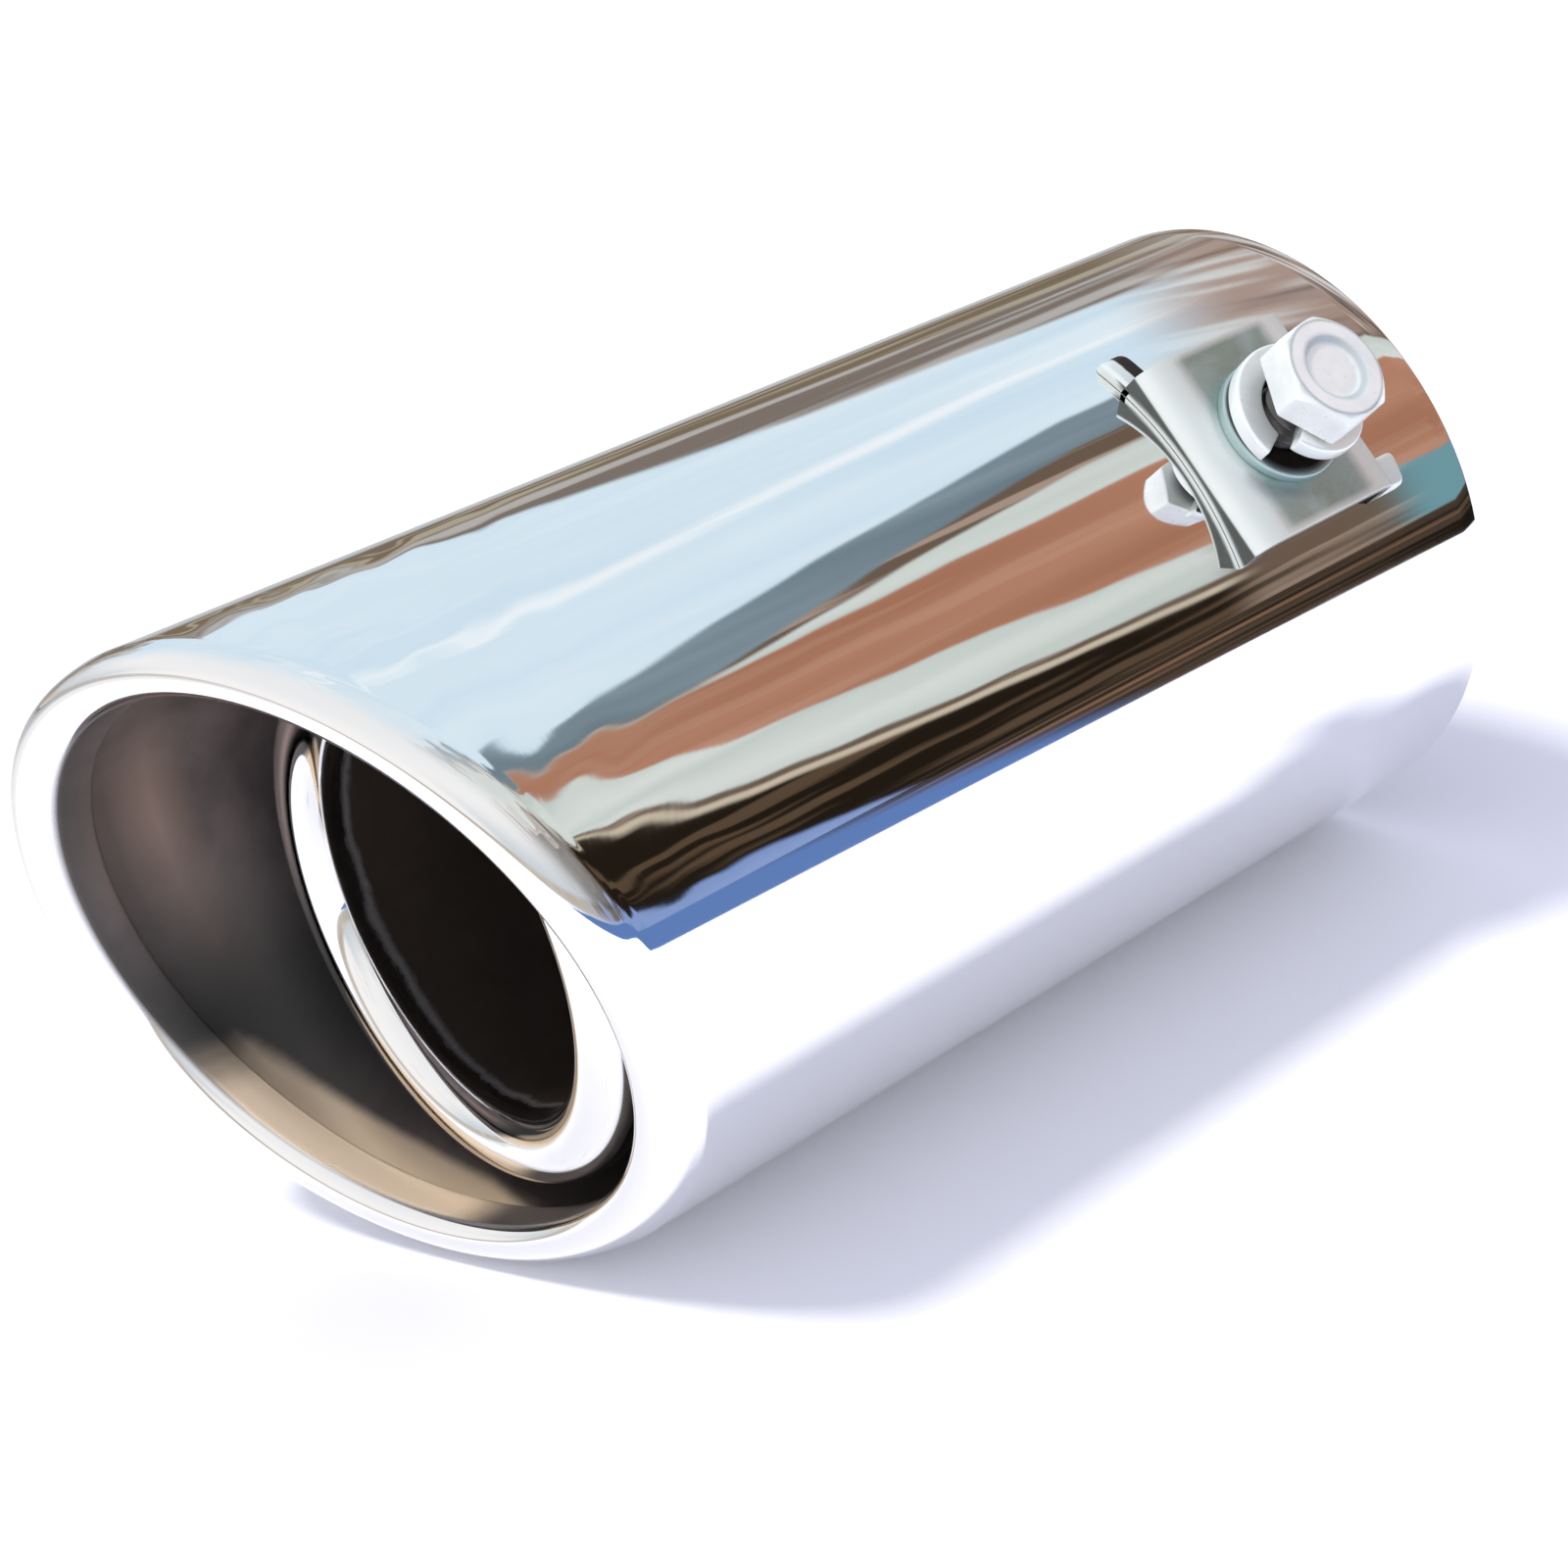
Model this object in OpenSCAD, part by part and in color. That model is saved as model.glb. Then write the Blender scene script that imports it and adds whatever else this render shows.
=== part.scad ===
// Round exhaust tip: slash-cut polished shell with a rolled lip, an inner tube with a
// rolled mouth, and two opposed screw clamps that grip the tail pipe.
// The tube lies along X with its mouth towards -X. The origin is on the tube's axis,
// midway between the two clamp screws, where the tail pipe is gripped.

/* [Shell] */
// Outside diameter of the shell
shell_d = 63.5; // [60:0.5:70]
// Sheet thickness of the shell
shell_wall = 1.2; // [0.8:0.1:1.4]
// Length from the inlet rim to the middle of the slashed mouth
shell_len = 115; // [110:1:140]
// Slope of the slash cut from square, in degrees
slash_deg = 20.5; // [0:0.5:24]
// Side on which the slash leaves the shell longest, turned from the top
slash_roll = 61; // [0:1:359]

/* [Rolled lip] */
// Width of the lip across the sheet's roll
lip_width = 4.5; // [4:0.1:6]
// Length over which the outside rounds into the lip
lip_shoulder = 4.6; // [3:0.1:6]
// Depth over which the lip rounds back into the mouth
lip_return = 2.3; // [2:0.1:4]
// Straight hem behind the lip, inside the shell
lip_hem = 2.6; // [1:0.1:5]
// Steps of the lip round the mouth
lip_steps = 80; // [48:8:96]

/* [Inner tube] */
// Bore of the inner tube
inner_bore = 37.4; // [30:0.2:40]
// Sheet thickness of the inner tube
inner_wall = 1; // [0.8:0.1:1.4]
// Distance from the inlet rim to the front of the inner tube's rolled mouth
inner_front = 104.6; // [95:0.2:106]
// Length of the inner tube
inner_len = 50; // [40:1:55]
// Outside diameter of the inner tube's rolled mouth
mouth_d = 50.4; // [48:0.2:52]
// Length of the skirt that the rolled mouth ends in
mouth_skirt = 1.6; // [0.5:0.1:4]

/* [Support ring] */
// Sheet thickness of the support ring
support_wall = 1; // [0.8:0.1:1.4]
// Length of the support ring's two collars
support_len = 9; // [7:0.5:14]
// Outer radius of the support ring's bends
support_bend = 2.4; // [2:0.1:3]
// Distance from the inner tube's rear end to the support ring's web
support_set = 7.4; // [6:0.2:12]

/* [Clamp bracket] */
// Angle of the clamps from the top, towards -Y, with the second one opposite
clamp_roll = 51; // [0:1:90]
// Distance from the inlet rim to the clamp screws
clamp_x = 22.3; // [20:0.1:30]
// Length of a bracket along the tube
bracket_len = 19.4; // [18:0.2:22]
// Width of a bracket across the tube
bracket_w = 19.5; // [18:0.5:22]
// Height of a bracket's face over the crown of the shell
bracket_rise = 2.6; // [2.4:0.1:3.4]
// Sheet thickness of a bracket
bracket_wall = 1.5; // [1.2:0.1:1.5]
// Length over which a bracket's face rounds down at its front and back
bend_run = 4.5; // [3:0.1:5]
// Depth of that rounding
bend_drop = 1.8; // [1.6:0.1:2.2]
// Thickness of the two welding lugs on a bracket
lug_t = 1.1; // [0.8:0.1:1.4]
// Width of a welding lug
lug_w = 3.2; // [2:0.1:4]
// Reach of a welding lug past the bracket
lug_reach = 3.4; // [2:0.1:4]

/* [Screw] */
// Nominal diameter of the clamp screw's thread
screw_d = 6; // [5:0.5:6]
// Height of the screw's head
head_h = 3.8; // [3:0.1:5]
// Width of the hexagons across their flats
hex_af = 10; // [9.5:0.1:11]
// Height of the head's chamfer
head_chamfer = 0.5; // [0.3:0.1:0.8]
// Turn of the heads on the screws' axes
head_turn = 8; // [0:1:59]
// Radius of the shallow dish in the head
dish_r = 3.3; // [2.5:0.1:4]
// Depth of the shallow dish in the head
dish_depth = 0.6; // [0.3:0.1:0.8]
// Diameter of the riveted neck that carries the jaw
neck_d = 4; // [3:0.1:4.4]
// Height of the thin weld nut
nut_h = 4; // [3.5:0.1:4]
// Thickness of the plain washer
plain_t = 1.1; // [0.8:0.1:1.3]
// Thickness of the spring washer's wire
washer_t = 1.7; // [1.4:0.1:2]
// Outside diameter of the plain and the spring washer
washer_d = 12.2; // [11:0.1:13]
// Rise of the spring washer from one cut end to the other
washer_rise = 3.2; // [0.5:0.1:4]
// Half the opening at the spring washer's cut, in degrees
washer_cut = 5; // [3:1:10]
// Turn of the spring washer's cut on the screw's axis
washer_turn = 212; // [0:1:359]
// Steps of the spring washer's turn
washer_steps = 40; // [24:4:60]

/* [Jaw] */
// Clear travel of a jaw under its nut, with the screw home
jaw_travel = 4.1; // [4.05:0.05:4.5]
// Thickness of a jaw
jaw_t = 2; // [1.6:0.1:2.2]
// Length of a jaw along the tube
jaw_len = 20; // [16:0.5:24]
// Width of a jaw across the tube
jaw_w = 24; // [20:0.5:28]
// Diameter of the flat boss under the screw
boss_d = 9; // [8:0.1:11]
// Height of the boss over the crown of the jaw
boss_h = 0.5; // [0.4:0.1:0.6]
// Depth of the recess that holds the riveted end
rivet_recess = 0.9; // [0.7:0.1:1]
// Diameter of the screw's riveted end
rivet_d = 5.6; // [5:0.1:6.5]

/* [Fits] */
// Gap between pieces that are welded to each other
weld_gap = 0.05; // [0.02:0.01:0.1]
// Radial clearance of a screw in its nut and in its jaw
running = 0.05; // [0.02:0.01:0.1]
// Radial clearance of a screw in its bracket and washer
loose = 0.4; // [0.2:0.05:0.6]
// Gap between faces that turn or slide on each other
face_gap = 0.1; // [0.05:0.05:0.2]
// Gap round the nut in the window of the shell
window_gap = 0.5; // [0.3:0.1:0.8]
// Corner radius of the window in the shell
window_corner = 2; // [1:0.5:3]

/* [Hidden] */
$fn = 96;
over = 1;
shell_r = shell_d / 2;
shell_ri = shell_r - shell_wall;
slash_tan = tan(slash_deg);
lip_ri = shell_r - lip_width;
lip_lap = 2.4;
lip_blend = 0.5;
lip_inset = 0.06;
lip_crest = 15;
arc_steps = 6;
inner_r = inner_bore / 2;
inner_ro = inner_r + inner_wall;
support_x = inner_front - inner_len + support_set;
mouth_roll = (mouth_d - inner_bore) / 4;
support_ri = inner_ro + weld_gap;
support_ro = shell_ri - weld_gap;
bracket_top = shell_r + bracket_rise;
bracket_under = bracket_top - bracket_wall;
bracket_foot = shell_r + weld_gap;
screw_r = screw_d / 2;
hex_r = hex_af / 2 / cos(30);
head_top_r = (hex_af / 2 + hex_r) / 2 - 0.1;
ring_r = bracket_top + plain_t;
seat_r = ring_r + washer_t + washer_rise + face_gap;
nut_top = bracket_under - weld_gap;
jaw_r = nut_top - nut_h - jaw_travel - boss_h - jaw_t;
boss_top = jaw_r + jaw_t + boss_h;
window_w = 2 * (hex_r + window_gap);

// Points of a quarter ellipse or circle round (cx, cy), from angle a0 to a1
function arc(cx, cy, rx, ry, a0, a1, n) =
  [for (i = [0:n]) let (a = a0 + (a1 - a0) * i / n) [cx + rx * cos(a), cy + ry * sin(a)]];

// Cylinder along X, from x0 to x1
module rod(r, x0, x1) {
  translate([x0, 0, 0])
    rotate([0, 90, 0])
      cylinder(r = r, h = x1 - x0);
}

// Hollow cylinder along X, from x0 to x1
module pipe(ro, ri, x0, x1) {
  difference() {
    rod(ro, x0, x1);
    rod(ri, x0 - over, x1 + over);
  }
}

// Profile of [radius, distance from the rim] turned about X, mouth to -X
module turned() {
  rotate([0, -90, 0])
    rotate_extrude()
      children();
}

// Places a clamp piece, built pointing up, at its side of the tube
module at_side(side) {
  rotate([side == "near" ? clamp_roll : clamp_roll + 180, 0, 0])
    children();
}

// Places a piece of the tube, built with the inlet rim at X = 0
module from_rim() {
  translate([clamp_x, 0, 0])
    children();
}

// Section of the rolled lip: [distance ahead of the slash plane, radius], outside first
lip_out = shell_r - lip_inset;
lip_mid = lip_out - lip_width / 2;
lip_section = concat(
  [[-lip_shoulder - lip_lap, lip_out]],
  arc(-lip_shoulder, lip_mid, lip_shoulder, lip_width / 2, 90, 0, arc_steps),
  arc(-lip_return, lip_mid, lip_return, lip_width / 2, -lip_crest, -90, arc_steps),
  [[-lip_return - lip_hem, lip_mid - lip_width / 2]],
  [[-lip_return - lip_hem, lip_mid - lip_width / 2 + shell_wall]],
  arc(-lip_return, lip_mid, lip_return - shell_wall, lip_width / 2 - shell_wall, -90, -lip_crest, arc_steps),
  arc(-lip_shoulder, lip_mid, lip_shoulder - shell_wall, lip_width / 2 - shell_wall, 0, 90, arc_steps),
  [[-lip_shoulder - lip_blend, shell_ri + lip_inset]],
  [[-lip_shoulder - lip_lap, shell_ri + lip_inset]]
);

// One point of the lip, carried round the slanted mouth
function lip_point(p, a) = [
  -shell_len - p[0] - slash_tan * p[1] * cos(a - slash_roll),
  p[1] * sin(a),
  p[1] * cos(a)
];

// Sheet rolled inwards round the slashed mouth
module rolled_lip() {
  n = len(lip_section);
  points = [
    for (i = [0:lip_steps - 1]) for (p = lip_section) lip_point(p, 360 * i / lip_steps)
  ];
  faces = [
    for (i = [0:lip_steps - 1]) for (j = [0:n - 1])
      let (i2 = (i + 1) % lip_steps, j2 = (j + 1) % n)
        each [
          [i * n + j, i2 * n + j2, i2 * n + j],
          [i * n + j, i * n + j2, i2 * n + j2]
        ]
  ];
  polyhedron(points, faces);
}

// Everything ahead of the slash plane, moved back by the given distance
module ahead_of_slash(back) {
  reach = 3 * shell_d;
  translate([-shell_len + back, 0, 0])
    rotate([-slash_roll, 0, 0])
      rotate([0, -slash_deg, 0])
        translate([-reach, -reach / 2, -reach / 2])
          cube(reach);
}

// Opening in the shell that a clamp's nut stands in
module clamp_window() {
  flat = window_w - 2 * window_corner;
  linear_extrude(shell_r + over)
    union() {
      square([flat, window_w], center = true);
      square([window_w, flat], center = true);
      for (x = [-1, 1])
        for (y = [-1, 1])
          translate([x * flat / 2, y * flat / 2])
            circle(window_corner);
    }
}

module outer_shell() {
  color("gainsboro")
    union() {
      difference() {
        from_rim() pipe(shell_r, shell_ri, -shell_len - shell_d, 0);
        from_rim() ahead_of_slash(lip_shoulder + lip_lap / 2);
        at_side("near") clamp_window();
        at_side("far") clamp_window();
      }
      from_rim() rolled_lip();
    }
}

// Inner tube with its mouth rolled outwards
module inner_tube() {
  roll_x = inner_front - mouth_roll;
  roll_r = inner_r + mouth_roll;
  color("silver")
    from_rim() turned() {
      translate([inner_r, inner_front - inner_len])
        square([inner_wall, inner_len - mouth_roll]);
      intersection() {
        translate([roll_r, roll_x])
          difference() {
            circle(mouth_roll);
            circle(mouth_roll - inner_wall);
          }
        translate([inner_r, roll_x])
          square(2 * mouth_roll);
      }
      translate([mouth_d / 2 - inner_wall, roll_x - mouth_skirt])
        square([inner_wall, mouth_skirt]);
    }
}

// Pressed ring that carries the inner tube in the shell
module support_ring() {
  rb = support_bend;
  ri = rb - support_wall;
  back = support_x - support_len;
  color("darkgray")
    from_rim() turned()
      polygon(concat(
        [[support_ri, back]],
        arc(support_ri + rb, support_x - rb, rb, rb, 180, 90, arc_steps),
        arc(support_ro - rb, support_x - rb, rb, rb, 90, 0, arc_steps),
        [[support_ro, back]],
        [[support_ro - support_wall, back]],
        arc(support_ro - rb, support_x - rb, ri, ri, 0, 90, arc_steps),
        arc(support_ri + rb, support_x - rb, ri, ri, 90, 180, arc_steps),
        [[support_ri + support_wall, back]]
      ));
}

// Side view of a bracket's sheet: a bar whose upper corners round down gently
module bracket_side(len, top, run, drop) {
  polygon(concat(
    [[-len / 2, 0]],
    arc(-len / 2 + run, top - drop, run, drop, 180, 90, arc_steps),
    arc(len / 2 - run, top - drop, run, drop, 90, 0, arc_steps),
    [[len / 2, 0]]
  ));
}

// Welding lug: a patch of sheet that lies on the shell
module lug(x, y, sx, sy) {
  intersection() {
    pipe(bracket_foot + lug_t, bracket_foot, -bracket_len, bracket_len);
    translate([x, y, 0])
      cube([sx, sy, shell_d]);
  }
}

// Raised clamp bracket: sheet bent down at the front and back and welded to the shell
module bracket() {
  x_side = bracket_len / 2;
  y_side = bracket_w / 2;
  difference() {
    rotate([90, 0, 0])
      linear_extrude(bracket_w, center = true)
        difference() {
          bracket_side(bracket_len, bracket_top, bend_run, bend_drop);
          bracket_side(
            bracket_len - 2 * bracket_wall, bracket_under, bend_run - bracket_wall, bend_drop - bracket_wall
          );
        }
    rod(bracket_foot, -bracket_len, bracket_len);
    cylinder(r = screw_r + loose, h = bracket_top + over);
  }
  lug(-x_side, y_side - bracket_wall, lug_w, lug_reach + bracket_wall);
  lug(x_side - bracket_wall, -y_side, lug_reach + bracket_wall, lug_w);
}

// Thin hexagon nut welded under the bracket
module weld_nut() {
  translate([0, 0, nut_top - nut_h])
    difference() {
      cylinder(r = hex_r, h = nut_h, $fn = 6);
      translate([0, 0, -over])
        cylinder(r = screw_r, h = nut_h + 2 * over);
    }
}

// Plain washer on the bracket
module plain_washer() {
  translate([0, 0, bracket_top])
    difference() {
      cylinder(d = washer_d, h = plain_t);
      translate([0, 0, -over])
        cylinder(r = screw_r + loose, h = plain_t + 2 * over);
    }
}

// Split spring washer: square wire wound through one open turn
module spring_washer() {
  n = washer_steps;
  ri = screw_r + loose;
  ro = washer_d / 2;
  points = [
    for (i = [0:n])
      let (t = i / n, a = washer_cut + (360 - 2 * washer_cut) * t, z = washer_rise * (1 - t))
        each [
          [ri * cos(a), ri * sin(a), z],
          [ro * cos(a), ro * sin(a), z],
          [ro * cos(a), ro * sin(a), z + washer_t],
          [ri * cos(a), ri * sin(a), z + washer_t]
        ]
  ];
  faces = concat(
    [for (i = [0:n - 1]) for (j = [0:3])
      let (j2 = (j + 1) % 4)
        each [
          [4 * i + j, 4 * i + j2, 4 * i + 4 + j2],
          [4 * i + j, 4 * i + 4 + j2, 4 * i + 4 + j]
        ]],
    [[3, 2, 1, 0]],
    [[4 * n, 4 * n + 1, 4 * n + 2, 4 * n + 3]]
  );
  translate([0, 0, ring_r])
    rotate([0, 0, washer_turn])
      polyhedron(points, faces);
}

// Hexagon head with its upper corners chamfered and a shallow dish
module screw_head() {
  difference() {
    intersection() {
      cylinder(r = hex_r, h = head_h, $fn = 6);
      rotate_extrude()
        polygon([
          [0, 0],
          [hex_r + over, 0],
          [hex_r + over, head_h - head_chamfer * (hex_r + over - head_top_r) / (hex_r - head_top_r)],
          [head_top_r, head_h],
          [0, head_h]
        ]);
    }
    translate([0, 0, head_h - dish_depth])
      cylinder(r1 = dish_r - dish_depth, r2 = dish_r + over, h = dish_depth + over);
  }
}

// Clamp screw: head, shank, and the neck riveted into the jaw
module clamp_screw() {
  shank_end = boss_top + face_gap;
  rivet_face = jaw_r + face_gap;
  translate([0, 0, seat_r])
    rotate([0, 0, head_turn])
      screw_head();
  translate([0, 0, shank_end])
    cylinder(r = screw_r - running, h = seat_r - shank_end);
  translate([0, 0, rivet_face])
    cylinder(r = neck_d / 2, h = shank_end - rivet_face);
  translate([0, 0, rivet_face])
    cylinder(r = rivet_d / 2, h = rivet_recess - 2 * face_gap);
}

// Curved jaw that presses on the tail pipe
module jaw() {
  jaw_ro = jaw_r + jaw_t;
  difference() {
    union() {
      intersection() {
        rod(jaw_ro, -jaw_len / 2, jaw_len / 2);
        translate([-jaw_len, -jaw_w / 2, 0])
          cube([2 * jaw_len, jaw_w, jaw_ro]);
      }
      cylinder(r = boss_d / 2, h = boss_top);
    }
    rod(jaw_r, -jaw_len, jaw_len);
    cylinder(r = neck_d / 2 + running, h = shell_r);
    cylinder(r = rivet_d / 2 + running, h = jaw_r + rivet_recess);
  }
}

module near_bracket() { color("lightsteelblue") at_side("near") bracket(); }
module near_weld_nut() { color("dimgray") at_side("near") weld_nut(); }
module near_plain_washer() { color("lightgray") at_side("near") plain_washer(); }
module near_spring_washer() { color("whitesmoke") at_side("near") spring_washer(); }
module near_clamp_screw() { color("white") at_side("near") clamp_screw(); }
module near_jaw() { color("slategray") at_side("near") jaw(); }
module far_bracket() { color("lightsteelblue") at_side("far") bracket(); }
module far_weld_nut() { color("dimgray") at_side("far") weld_nut(); }
module far_plain_washer() { color("lightgray") at_side("far") plain_washer(); }
module far_spring_washer() { color("whitesmoke") at_side("far") spring_washer(); }
module far_clamp_screw() { color("white") at_side("far") clamp_screw(); }
module far_jaw() { color("slategray") at_side("far") jaw(); }

outer_shell();
inner_tube();
support_ring();
near_bracket();
near_weld_nut();
near_plain_washer();
near_spring_washer();
near_clamp_screw();
near_jaw();
far_bracket();
far_weld_nut();
far_plain_washer();
far_spring_washer();
far_clamp_screw();
far_jaw();
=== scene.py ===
"""Round exhaust tip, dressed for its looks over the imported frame.

Every piece is a surface worked out with numpy, in metres, in the frame's own axes:
the tube lies along X with its mouth towards -X, and +Z is up.
Sizes in the code are in millimetres until a piece is put into its mesh.
"""

import bmesh
import bpy
import numpy as np
from bpy.props import FloatProperty, FloatVectorProperty, IntProperty, PointerProperty
from mathutils import Matrix, Vector


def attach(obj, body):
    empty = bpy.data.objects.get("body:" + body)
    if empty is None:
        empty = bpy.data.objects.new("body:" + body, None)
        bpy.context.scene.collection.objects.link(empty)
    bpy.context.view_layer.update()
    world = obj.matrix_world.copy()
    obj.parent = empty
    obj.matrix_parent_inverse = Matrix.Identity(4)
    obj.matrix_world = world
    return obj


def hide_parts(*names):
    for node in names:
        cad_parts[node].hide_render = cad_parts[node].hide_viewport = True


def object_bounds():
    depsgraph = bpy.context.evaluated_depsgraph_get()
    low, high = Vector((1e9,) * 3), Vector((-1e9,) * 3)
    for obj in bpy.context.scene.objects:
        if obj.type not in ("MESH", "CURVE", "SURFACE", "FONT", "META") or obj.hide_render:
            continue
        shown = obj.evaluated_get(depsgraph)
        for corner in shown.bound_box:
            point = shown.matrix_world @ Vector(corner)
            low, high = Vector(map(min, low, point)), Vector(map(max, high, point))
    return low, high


bl_info = {
    "name": "Exhaust Tip",
    "version": (1, 0, 0),
    "blender": (4, 5, 0),
    "location": "View3D > Sidebar > Exhaust Tip",
    "description": "Builds a slash-cut polished exhaust tip with two screw clamps",
    "category": "Add Mesh",
}

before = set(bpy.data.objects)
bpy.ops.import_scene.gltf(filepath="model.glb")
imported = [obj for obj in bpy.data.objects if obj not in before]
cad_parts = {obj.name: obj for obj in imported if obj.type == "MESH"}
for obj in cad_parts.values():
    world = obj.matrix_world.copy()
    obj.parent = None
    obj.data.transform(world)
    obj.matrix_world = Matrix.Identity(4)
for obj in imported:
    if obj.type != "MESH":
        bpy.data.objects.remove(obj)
CAD_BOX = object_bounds()
MM = 0.001
SIDES = ("near", "far")

# Millimetres and degrees of the washers: bore, rim, start of the spring washer's turn and its span
WASHER_BORE, WASHER_RIM = 3.4, 6.1
WASHER_START, WASHER_SPAN = 207, 350

# Metres: radius of the reflected room, height of its cards over the floor, half width of the floor
ROOM_RADIUS = 2.4
CARD_LIFT = 0.0008
FLOOR_HALF = 3.0


def length(name, text, mm, low=0.0):
    """A length property whose default is given in millimetres."""
    return FloatProperty(name=name, description=text, default=mm * MM, min=low, unit="LENGTH", precision=5)


def angle(name, text, degrees):
    """An angle property whose default is given in degrees."""
    return FloatProperty(name=name, description=text, default=np.radians(degrees), unit="ROTATION")


def colour(name, text, value):
    """A linear colour property."""
    return FloatVectorProperty(name=name, description=text, default=value, subtype="COLOR", min=0.0, max=1.0)


class TipShellSizes(bpy.types.PropertyGroup):
    """Sizes of the shell, its lip and the inner tube."""

    diameter: length("Diameter", "Outside diameter of the shell", 63.5)
    wall: length("Wall", "Sheet thickness of the shell", 1.2)
    span: length("Length", "Length from the inlet rim to the middle of the mouth", 115)
    slash: angle("Slash", "Slope of the mouth from square", 20.5)
    slash_roll: angle("Slash side", "Side on which the shell is longest, from the top", 61)
    lip_width: length("Lip width", "Width of the rolled lip", 4.5)
    lip_shoulder: length("Lip shoulder", "Length over which the outside rounds into the lip", 4.6)
    lip_return: length("Lip return", "Depth over which the lip rounds back into the mouth", 2.3)
    lip_hem: length("Hem", "Straight hem behind the lip", 2.6)
    bore: length("Inner bore", "Bore of the inner tube", 37.4)
    bore_wall: length("Inner wall", "Sheet thickness of the inner tube", 1.0)
    bore_front: length("Inner front", "Distance from the inlet rim to the rolled mouth", 104.6)
    bore_length: length("Inner length", "Length of the inner tube", 50)
    mouth: length("Rolled mouth", "Outside diameter of the inner tube's rolled mouth", 50.4)
    skirt: length("Skirt", "Length of the skirt behind the rolled mouth", 1.6)


class TipClampSizes(bpy.types.PropertyGroup):
    """Sizes of the two screw clamps."""

    roll: angle("Clamp side", "Angle of the clamps from the top, towards -Y", 51)
    place: length("Clamp place", "Distance from the inlet rim to the screws", 22.3)
    bracket_length: length("Bracket length", "Length of a bracket along the tube", 19.4)
    bracket_width: length("Bracket width", "Width of a bracket across the tube", 19.5)
    bracket_rise: length("Bracket rise", "Height of a bracket's face over the shell", 2.6)
    bracket_wall: length("Bracket wall", "Sheet thickness of a bracket", 1.5)
    bend_run: length("Bend run", "Length over which a bracket's face rounds down at its ends", 4.5)
    bend_drop: length("Bend drop", "Depth of that rounding", 1.8)
    hexagon: length("Hexagon", "Width of the hexagons across their flats", 10)
    head_height: length("Head height", "Height of the screw's head", 3.8)
    head_turn: angle("Head turn", "Turn of the heads on the screws' axes", 8)
    dish_depth: length("Dish depth", "Depth of the dish in the head", 0.6)
    pitch: length("Pitch", "Pitch of the screw's thread", 1)
    nut_height: length("Nut height", "Height of the weld nut", 4)
    plain_wall: length("Plain washer", "Thickness of the plain washer", 1.1)
    washer_wire: length("Washer wire", "Thickness of the spring washer's wire", 1.7)
    washer_rise: length("Washer rise", "Rise of the spring washer round its turn", 3.2)
    jaw_radius: length("Jaw radius", "Radius of a jaw's gripping face", 22.2)
    jaw_wall: length("Jaw wall", "Thickness of a jaw", 2)


class TipFinishes(bpy.types.PropertyGroup):
    """Colours of the finishes."""

    polish: colour("Polished steel", "Reflection of the polished sheet", (0.93, 0.93, 0.935))
    inner_wall: colour("Inner wall", "Unpolished wall inside the shell", (0.215, 0.176, 0.160))
    # Painted reflection: the colour of a warm patch low inside the mouth, which stands for light the wall reflects.
    straw: colour("Straw tint", "Heat tint low inside the mouth", (1.0, 0.80, 0.56))
    # Painted shade: the dark colour of the inner tube's bore.
    soot: colour("Dark bore", "Darkened bore of the inner tube", (0.030, 0.022, 0.016))
    zinc: colour("Zinc plate", "Plating of the brackets, washers and screws", (0.40, 0.52, 0.50))
    screw: colour("Screw plate", "Bright plating of the screws and spring washers", (0.94, 0.96, 0.90))
    bare: colour("Bare steel", "Unplated steel of the jaws and nuts", (0.42, 0.41, 0.40))
    floor: colour("Floor", "Pale floor", (0.86, 0.86, 0.87))


class TipStage(bpy.types.PropertyGroup):
    """Light, floor and camera."""

    key_power: FloatProperty(name="Key strength", description="Strength of the key lamp", default=1.9)
    shade: colour("Shade", "Colour of the light that fills the shadow", (0.77, 0.80, 1.0))
    lens: FloatProperty(name="Lens", description="Focal length on a 36 mm sensor", default=60.43, unit="CAMERA")
    columns: IntProperty(name="Columns", description="Columns round the shell", default=240, min=48)


def mm(value):
    """A length property's value in millimetres."""
    return value / MM


def arc(cx, cy, rx, ry, a0, a1, n):
    """Points of an ellipse's arc: centre plus the radii times cosine and sine, from a0 to a1 degrees."""
    a = np.radians(np.linspace(a0, a1, n + 1))
    return np.column_stack([cx + rx * np.cos(a), cy + ry * np.sin(a)])


def path(*parts):
    """Joins runs of profile points into one, dropping points that repeat."""
    joined = np.vstack([np.atleast_2d(p) for p in parts])
    step = np.linalg.norm(np.diff(joined, axis=0), axis=1)
    return joined[np.concatenate([[True], step > 1e-6])]


def grid_faces(rows, cols, wrap_rows=False, wrap_cols=False):
    """Quads between the neighbours of a grid of points, stored row after row."""
    i = np.arange(rows if wrap_rows else rows - 1)[:, None]
    j = np.arange(cols if wrap_cols else cols - 1)[None, :]
    i2 = (i + 1) % rows
    j2 = (j + 1) % cols
    return np.stack([i * cols + j, i * cols + j2, i2 * cols + j2, i2 * cols + j], -1).reshape(-1, 4)


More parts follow.
